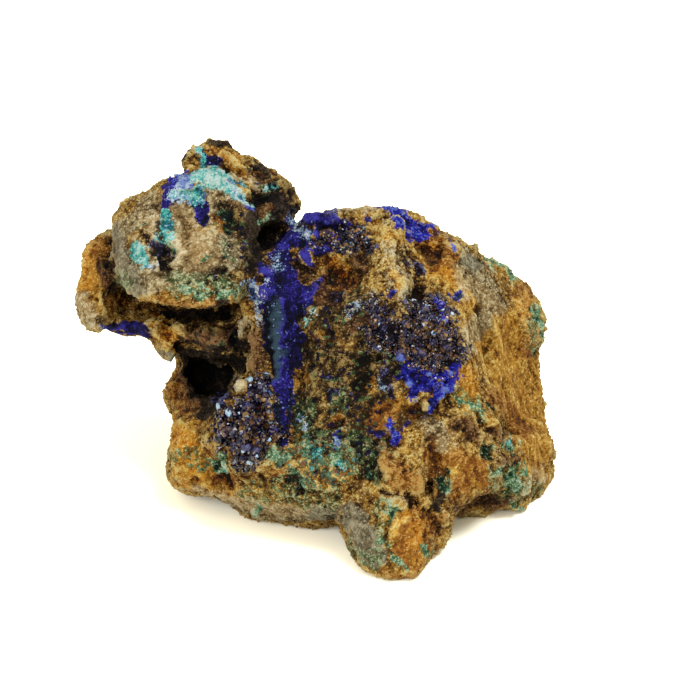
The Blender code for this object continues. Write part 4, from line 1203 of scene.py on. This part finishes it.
def stained_rock_material(name, colours):
    """Iron-stained rock with its copper minerals, for the skin and the grains on it."""
    material, tree, shader, where = start_material(name)
    close = mottle(tree, where, *CLOUDS["close"])
    fine = group_node(tree, "Grit", {"Vector": where, "Size": FINE_GRAINS})
    coarse = group_node(tree, "Grit", {"Vector": where, "Size": COARSE_GRAINS})
    shade = rock_shade(tree, where, close, fine, coarse)
    soft = maths(tree, "MULTIPLY", attribute(tree, "golden"), 1.6, clamp=True)
    fade = maths(tree, "MULTIPLY", soft, SOFT_ON_GOLD)
    contrast = maths(tree, "SUBTRACT", shade, SHADE_MIDDLE)
    shade = maths(tree, "MULTIPLY_ADD", fade, contrast, shade)

    middles = {"azurite": colours.azurite, "malachite": colours.malachite}
    surface = palette(tree, shade, "ground", colours.rock)
    gold = maths(tree, "MULTIPLY", mottle(tree, where, *CLOUDS["golden"]), 0.7)
    surface = blend(tree, gold, surface, palette(tree, shade, "golden"))
    earth = mottle(tree, where, *CLOUDS["brown"])
    earth = maths(tree, "MULTIPLY_ADD", earth, 1.2, -0.5, clamp=True)
    surface = blend(tree, earth, surface, palette(tree, shade, "brown"))
    for stain, (size, reach, softness, cover) in EDGES.items():
        mask = stain_mask(tree, where, stain, size, reach, softness)
        layer = palette(tree, shade, stain, middles.get(stain))
        surface = blend(tree, maths(tree, "MULTIPLY", mask, cover), surface, layer)

    on_olive = maths(tree, "ADD", attribute(tree, "olive"), 0.4, clamp=True)
    for test, limit, stain in FLECKS:
        fleck = maths(tree, "MULTIPLY", maths(tree, test, coarse["Shade"], limit), on_olive)
        surface = blend(tree, fleck, surface, palette(tree, close, stain))
    velvet = maths(tree, "MAXIMUM", attribute(tree, "azurite"), attribute(tree, "ultramarine"))
    velvet = maths(tree, "MULTIPLY", velvet, 2.0, clamp=True)
    # Painted sparkle: rare fine grains on the azurite turn pale blue, as painted glints of light
    painted_sparkle = maths(tree, "GREATER_THAN", fine["Shade"], PAINTED_SPARKLE_LIMIT)
    painted_sparkle = maths(tree, "MULTIPLY", painted_sparkle, maths(tree, "MULTIPLY", velvet, 0.7))
    surface = blend(tree, painted_sparkle, surface, seen(*PALETTES["cornflower"][3]))
    finish_surface(tree, shader, surface, 0.8, 0.08)

    height = maths(tree, "MULTIPLY_ADD", fine["Height"], 0.6, coarse["Height"])
    height = maths(tree, "MULTIPLY_ADD", close, 0.8, height)
    height = maths(tree, "MULTIPLY_ADD", fade, height, height)
    add_bump(tree, shader, height, 1.0, 0.2 * MM)
    return material


def crystal_material(name, coated, colours):
    """Glassy azurite crystals, a share of them coated with iron, and some of them pale as painted
    glints.
    """
    material, tree, shader, where = start_material(name)
    tint = attribute(tree, "tint")
    cloud = mottle(tree, where, 0.5, 2.4)
    patch = mottle(tree, where, 2.2, 3.0)
    shade = maths(tree, "MULTIPLY_ADD", cloud, 0.5, maths(tree, "MULTIPLY", tint, 0.45))
    # Crystals where the skin stands out are lighter: a painted highlight
    shade = maths(tree, "MULTIPLY_ADD", attribute(tree, "bold"), 0.4, shade)
    blue = stain_mask(tree, where, "ultramarine", 0.6, 0.5, 0.3)
    surface = palette(tree, shade, "navy")
    violet = palette(tree, shade, "azurite", colours.azurite)
    surface = blend(tree, maths(tree, "MULTIPLY", patch, 0.25), surface, violet)
    surface = blend(tree, blue, surface, palette(tree, shade, "ultramarine"))
    crust = maths(tree, "MULTIPLY_ADD", mottle(tree, where, 1.1, 4.0), 0.8, tint)
    iron = maths(tree, "GREATER_THAN", crust, 1.44 - 0.8 * coated)
    surface = blend(tree, iron, surface, palette(tree, shade, "limonite"))
    ore = maths(tree, "LESS_THAN", tint, maths(tree, "MULTIPLY", patch, 0.4))
    surface = blend(tree, ore, surface, palette(tree, cloud, "umber"))
    # A few crystals take the frost palette's pale colours as painted glints
    painted_crystal_glint = maths(tree, "COMPARE", tint, 0.5, 0.012)
    surface = blend(tree, painted_crystal_glint, surface, palette(tree, shade, "frost"))
    finish_surface(tree, shader, surface, 0.16, 0.3)
    return material


def malachite_material(name, colours):
    """Silky green nodules with a little iron among them."""
    material, tree, shader, where = start_material(name)
    tint = attribute(tree, "tint")
    cloud = mottle(tree, where, 1.1, 2.6)
    patch = mottle(tree, where, 1.8, 3.4)
    fine = group_node(tree, "Grit", {"Vector": where, "Size": 0.16})
    shade = maths(tree, "MULTIPLY_ADD", cloud, 0.5, maths(tree, "MULTIPLY", tint, 0.4))
    # Nodules where the skin stands out are lighter and those in its hollows darker: painted
    # highlight and painted shade
    shade = maths(tree, "MULTIPLY_ADD", attribute(tree, "proud"), 0.9, shade)
    surface = palette(tree, shade, "moss")
    surface = blend(tree, patch, surface, palette(tree, shade, "malachite", colours.malachite))
    blue = maths(tree, "LESS_THAN", tint, maths(tree, "MULTIPLY_ADD", patch, 0.2, -0.08))
    surface = blend(tree, blue, surface, palette(tree, shade, "turquoise"))
    iron = maths(tree, "GREATER_THAN", maths(tree, "MULTIPLY_ADD", patch, -0.7, tint), 0.5)
    surface = blend(tree, iron, surface, palette(tree, cloud, "rust"))
    finish_surface(tree, shader, surface, 0.5, 0.3)
    add_bump(tree, shader, fine["Height"], 0.7, 0.1 * MM)
    return material


# Operators


class SPECIMEN_OT_rock(bpy.types.Operator):
    """Gives the rock its craggy skin and its stains"""

    bl_idname = "specimen.rock"
    bl_label = "Build Rock"

    def execute(self, context):
        scene = context.scene
        noise.seed_set(scene.specimen_growth.seed)
        rock = whole_skin(scene.specimen_skin.cell)
        mesh = rock.data
        stains = Stains(mesh)
        roughen(mesh, scene.specimen_skin, stains)
        points = points_of(mesh)
        write_fields(mesh, all_fields(stains))
        write_fields(mesh, {
            "tint": np.zeros(len(points)) + 0.5,
            "proud": standing_out(mesh, points, STANDING_PROUD) / MM,
            "bold": standing_out(mesh, points, STANDING_BOLD) / MM,
        })
        mesh.materials.clear()
        mesh.materials.append(stained_rock_material("Stained rock", scene.specimen_colours))
        mesh.shade_smooth()
        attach(rock, "root")
        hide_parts("matrix")
        return {"FINISHED"}


class SPECIMEN_OT_druses(bpy.types.Operator):
    """Grows azurite crystals in the hollow, on the flank and on the shoulder"""

    bl_idname = "specimen.druses"
    bl_label = "Grow Azurite Druses"

    def execute(self, context):
        rock = rock_object()
        growth = context.scene.specimen_growth
        colours = context.scene.specimen_colours
        ground = Ground(rock.data)
        gaps = ground.patches(1.3 * MM)
        bases = [blade(6, 0.8, 0.5), blade(5, 0.9, 0.6), blade(4, 0.7, 0.7), pebble(31), pebble(32)]
        for order, (name, (middling, density, coated, _)) in enumerate(DRUSES.items()):
            draws = np.random.default_rng(growth.seed + order)
            inside = ground.on_faces(step(read_field(rock.data, name), -0.9, 0.5))
            inside *= np.clip(0.8 + 1.5 * gaps, 0.02, 1.3) * density * growth.crystals
            places, normals, sources = ground.scatter(inside, draws)
            matrices = []
            for place, normal in zip(places, normals):
                length = middling * MM * min(draws.lognormal(0, 0.42), 1.9)
                width = length * draws.uniform(0.7, 1.2)
                size = (width, width * draws.uniform(0.7, 1.1), length)
                matrices.append(standing(place, normal, 0.6, size, draws))
            druse = growth_object("crystals_" + name, bases, matrices, sources, rock, draws)
            druse.data.materials.append(crystal_material("Crystals of " + name, coated, colours))
            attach(druse, "root")
            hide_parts(name)
        return {"FINISHED"}


class SPECIMEN_OT_malachite(bpy.types.Operator):
    """Grows malachite nodules low on the front"""

    bl_idname = "specimen.malachite"
    bl_label = "Grow Malachite Crust"

    def execute(self, context):
        rock = rock_object()
        growth = context.scene.specimen_growth
        ground = Ground(rock.data)
        draws = np.random.default_rng(growth.seed + MALACHITE_DRAWS)
        inside = ground.on_faces(step(read_field(rock.data, "malachite_crust"), -1.2, 0.8))
        inside *= np.clip(0.5 + 1.5 * ground.patches(1.4 * MM), 0.05, 1.2)
        places, normals, sources = ground.scatter(inside * growth.nodules, draws)
        bases = [pebble(seed) for seed in range(4)]
        matrices = []
        for place, normal in zip(places, normals):
            width = growth.nodule_width * draws.lognormal(0, 0.4)
            size = (width, width * draws.uniform(0.7, 1), width * draws.uniform(0.5, 0.9))
            matrices.append(standing(place, normal, 0.3, size, draws))
        crust = growth_object("nodules_malachite_crust", bases, matrices, sources, rock, draws)
        crust.data.materials.append(
            malachite_material("Malachite nodules", context.scene.specimen_colours)
        )
        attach(crust, "root")
        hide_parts("malachite_crust")
        return {"FINISHED"}


class SPECIMEN_OT_grains(bpy.types.Operator):
    """Scatters grains of iron ore and copper minerals over the skin"""

    bl_idname = "specimen.grains"
    bl_label = "Scatter Grains"

    def execute(self, context):
        rock = rock_object()
        growth = context.scene.specimen_growth
        ground = Ground(rock.data)
        calm = 0.75 * step(read_field(rock.data, "azurite"), -0.3, 0.4)
        calm = np.maximum(calm, 0.7 * step(read_field(rock.data, "smooth"), -0.3, 0.4))
        calm = np.maximum(calm, 0.6 * read_field(rock.data, "fibre"))
        density = (1 - ground.on_faces(calm)) * np.clip(0.6 + ground.patches(3 * MM), 0.1, 2)
        density *= growth.grains / (density * ground.areas).sum()
        bases = [pebble(seed + 10) for seed in range(5)]
        for layer, share in enumerate(GRAIN_LAYERS):
            draws = np.random.default_rng(growth.seed + GRAIN_DRAWS + layer)
            places, normals, sources = ground.scatter(density, draws)
            matrices = []
            for place, normal in zip(places, normals):
                width = growth.grain_width * share * draws.lognormal(0, 0.36)
                size = (width, width * draws.uniform(0.6, 1), width * draws.uniform(0.6, 1))
                matrices.append(standing(place, normal, 0.3, size, draws))
            grains = growth_object(f"grains_{layer + 1}", bases, matrices, sources, rock, draws)
            grains.data.materials.append(rock.data.materials[0])
            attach(grains, "root")
        return {"FINISHED"}


def area_light(name, power, place, size, colour):
    """A square light that faces the specimen."""
    light = bpy.data.lights.new(name, "AREA")
    light.size = size
    light.energy = power
    light.color = colour
    obj = bpy.data.objects.new(name, light)
    obj.location = place
    obj.rotation_euler = (LAYOUT_MIDDLE - obj.location).to_track_quat("-Z", "Y").to_euler()
    bpy.context.scene.collection.objects.link(obj)


class SPECIMEN_OT_stage(bpy.types.Operator):
    """Sets the floor, the light and the eye"""

    bl_idname = "specimen.stage"
    bl_label = "Set Stage"

    def execute(self, context):
        scene = context.scene
        stage = scene.specimen_stage
        bm = bmesh.new()
        bmesh.ops.create_grid(bm, x_segments=1, y_segments=1, size=3)
        mesh = bpy.data.meshes.new("floor")
        bm.to_mesh(mesh)
        bm.free()
        floor = bpy.data.objects.new("floor", mesh)
        scene.collection.objects.link(floor)
        paper = bpy.data.materials.new("Paper")
        paper.use_nodes = True
        shader = paper.node_tree.nodes["Principled BSDF"]
        shader.inputs["Base Color"].default_value = (*scene.specimen_colours.paper, 1)
        shader.inputs["Roughness"].default_value = 0.9
        mesh.materials.append(paper)

        world = bpy.data.worlds.new("Sky")
        scene.world = world
        world.use_nodes = True
        sky = world.node_tree.nodes["Background"].inputs
        sky["Color"].default_value = (*SKY_COLOUR, 1)
        sky["Strength"].default_value = stage.sky
        area_light("Key", stage.key, *KEY_LIGHT)
        area_light("Fill", stage.fill, *FILL_LIGHT)

        camera = bpy.data.cameras.new("Eye")
        camera.sensor_width = SENSOR_WIDTH
        camera.lens = SENSOR_WIDTH * stage.distance / stage.field
        camera.clip_start = 0.01
        eye = bpy.data.objects.new("Eye", camera)
        eye.location = LAYOUT_MIDDLE + OUT * stage.distance
        eye.rotation_euler = (-OUT).to_track_quat("-Z", "Y").to_euler()
        scene.collection.objects.link(eye)
        scene.camera = eye
        scene.view_settings.view_transform = "Standard"
        return {"FINISHED"}


class SPECIMEN_PT_panel(bpy.types.Panel):
    """Lists the specimen's operators and settings"""

    bl_idname = "SPECIMEN_PT_panel"
    bl_label = "Azurite Specimen"
    bl_space_type = "VIEW_3D"
    bl_region_type = "UI"
    bl_category = "Specimen"

    def draw(self, context):
        for operator in OPERATORS:
            self.layout.operator(operator.bl_idname)
        for group in SETTINGS:
            settings = getattr(context.scene, group)
            for name in settings.bl_rna.properties.keys():
                if name not in ("rna_type", "name"):
                    self.layout.prop(settings, name)


OPERATORS = (
    SPECIMEN_OT_rock,
    SPECIMEN_OT_druses,
    SPECIMEN_OT_malachite,
    SPECIMEN_OT_grains,
    SPECIMEN_OT_stage,
)
SETTINGS = {
    "specimen_skin": SpecimenSkin,
    "specimen_growth": SpecimenGrowth,
    "specimen_colours": SpecimenColours,
    "specimen_stage": SpecimenStage,
}


def register():
    for name, group in SETTINGS.items():
        bpy.utils.register_class(group)
        setattr(bpy.types.Scene, name, PointerProperty(type=group))
    for operator in OPERATORS:
        bpy.utils.register_class(operator)
    bpy.utils.register_class(SPECIMEN_PT_panel)


def unregister():
    bpy.utils.unregister_class(SPECIMEN_PT_panel)
    for operator in reversed(OPERATORS):
        bpy.utils.unregister_class(operator)
    for name, group in SETTINGS.items():
        delattr(bpy.types.Scene, name)
        bpy.utils.unregister_class(group)


def main():
    register()
    bpy.ops.specimen.rock()
    bpy.ops.specimen.druses()
    bpy.ops.specimen.malachite()
    bpy.ops.specimen.grains()
    bpy.ops.specimen.stage()


if __name__ == "__main__":
    main()
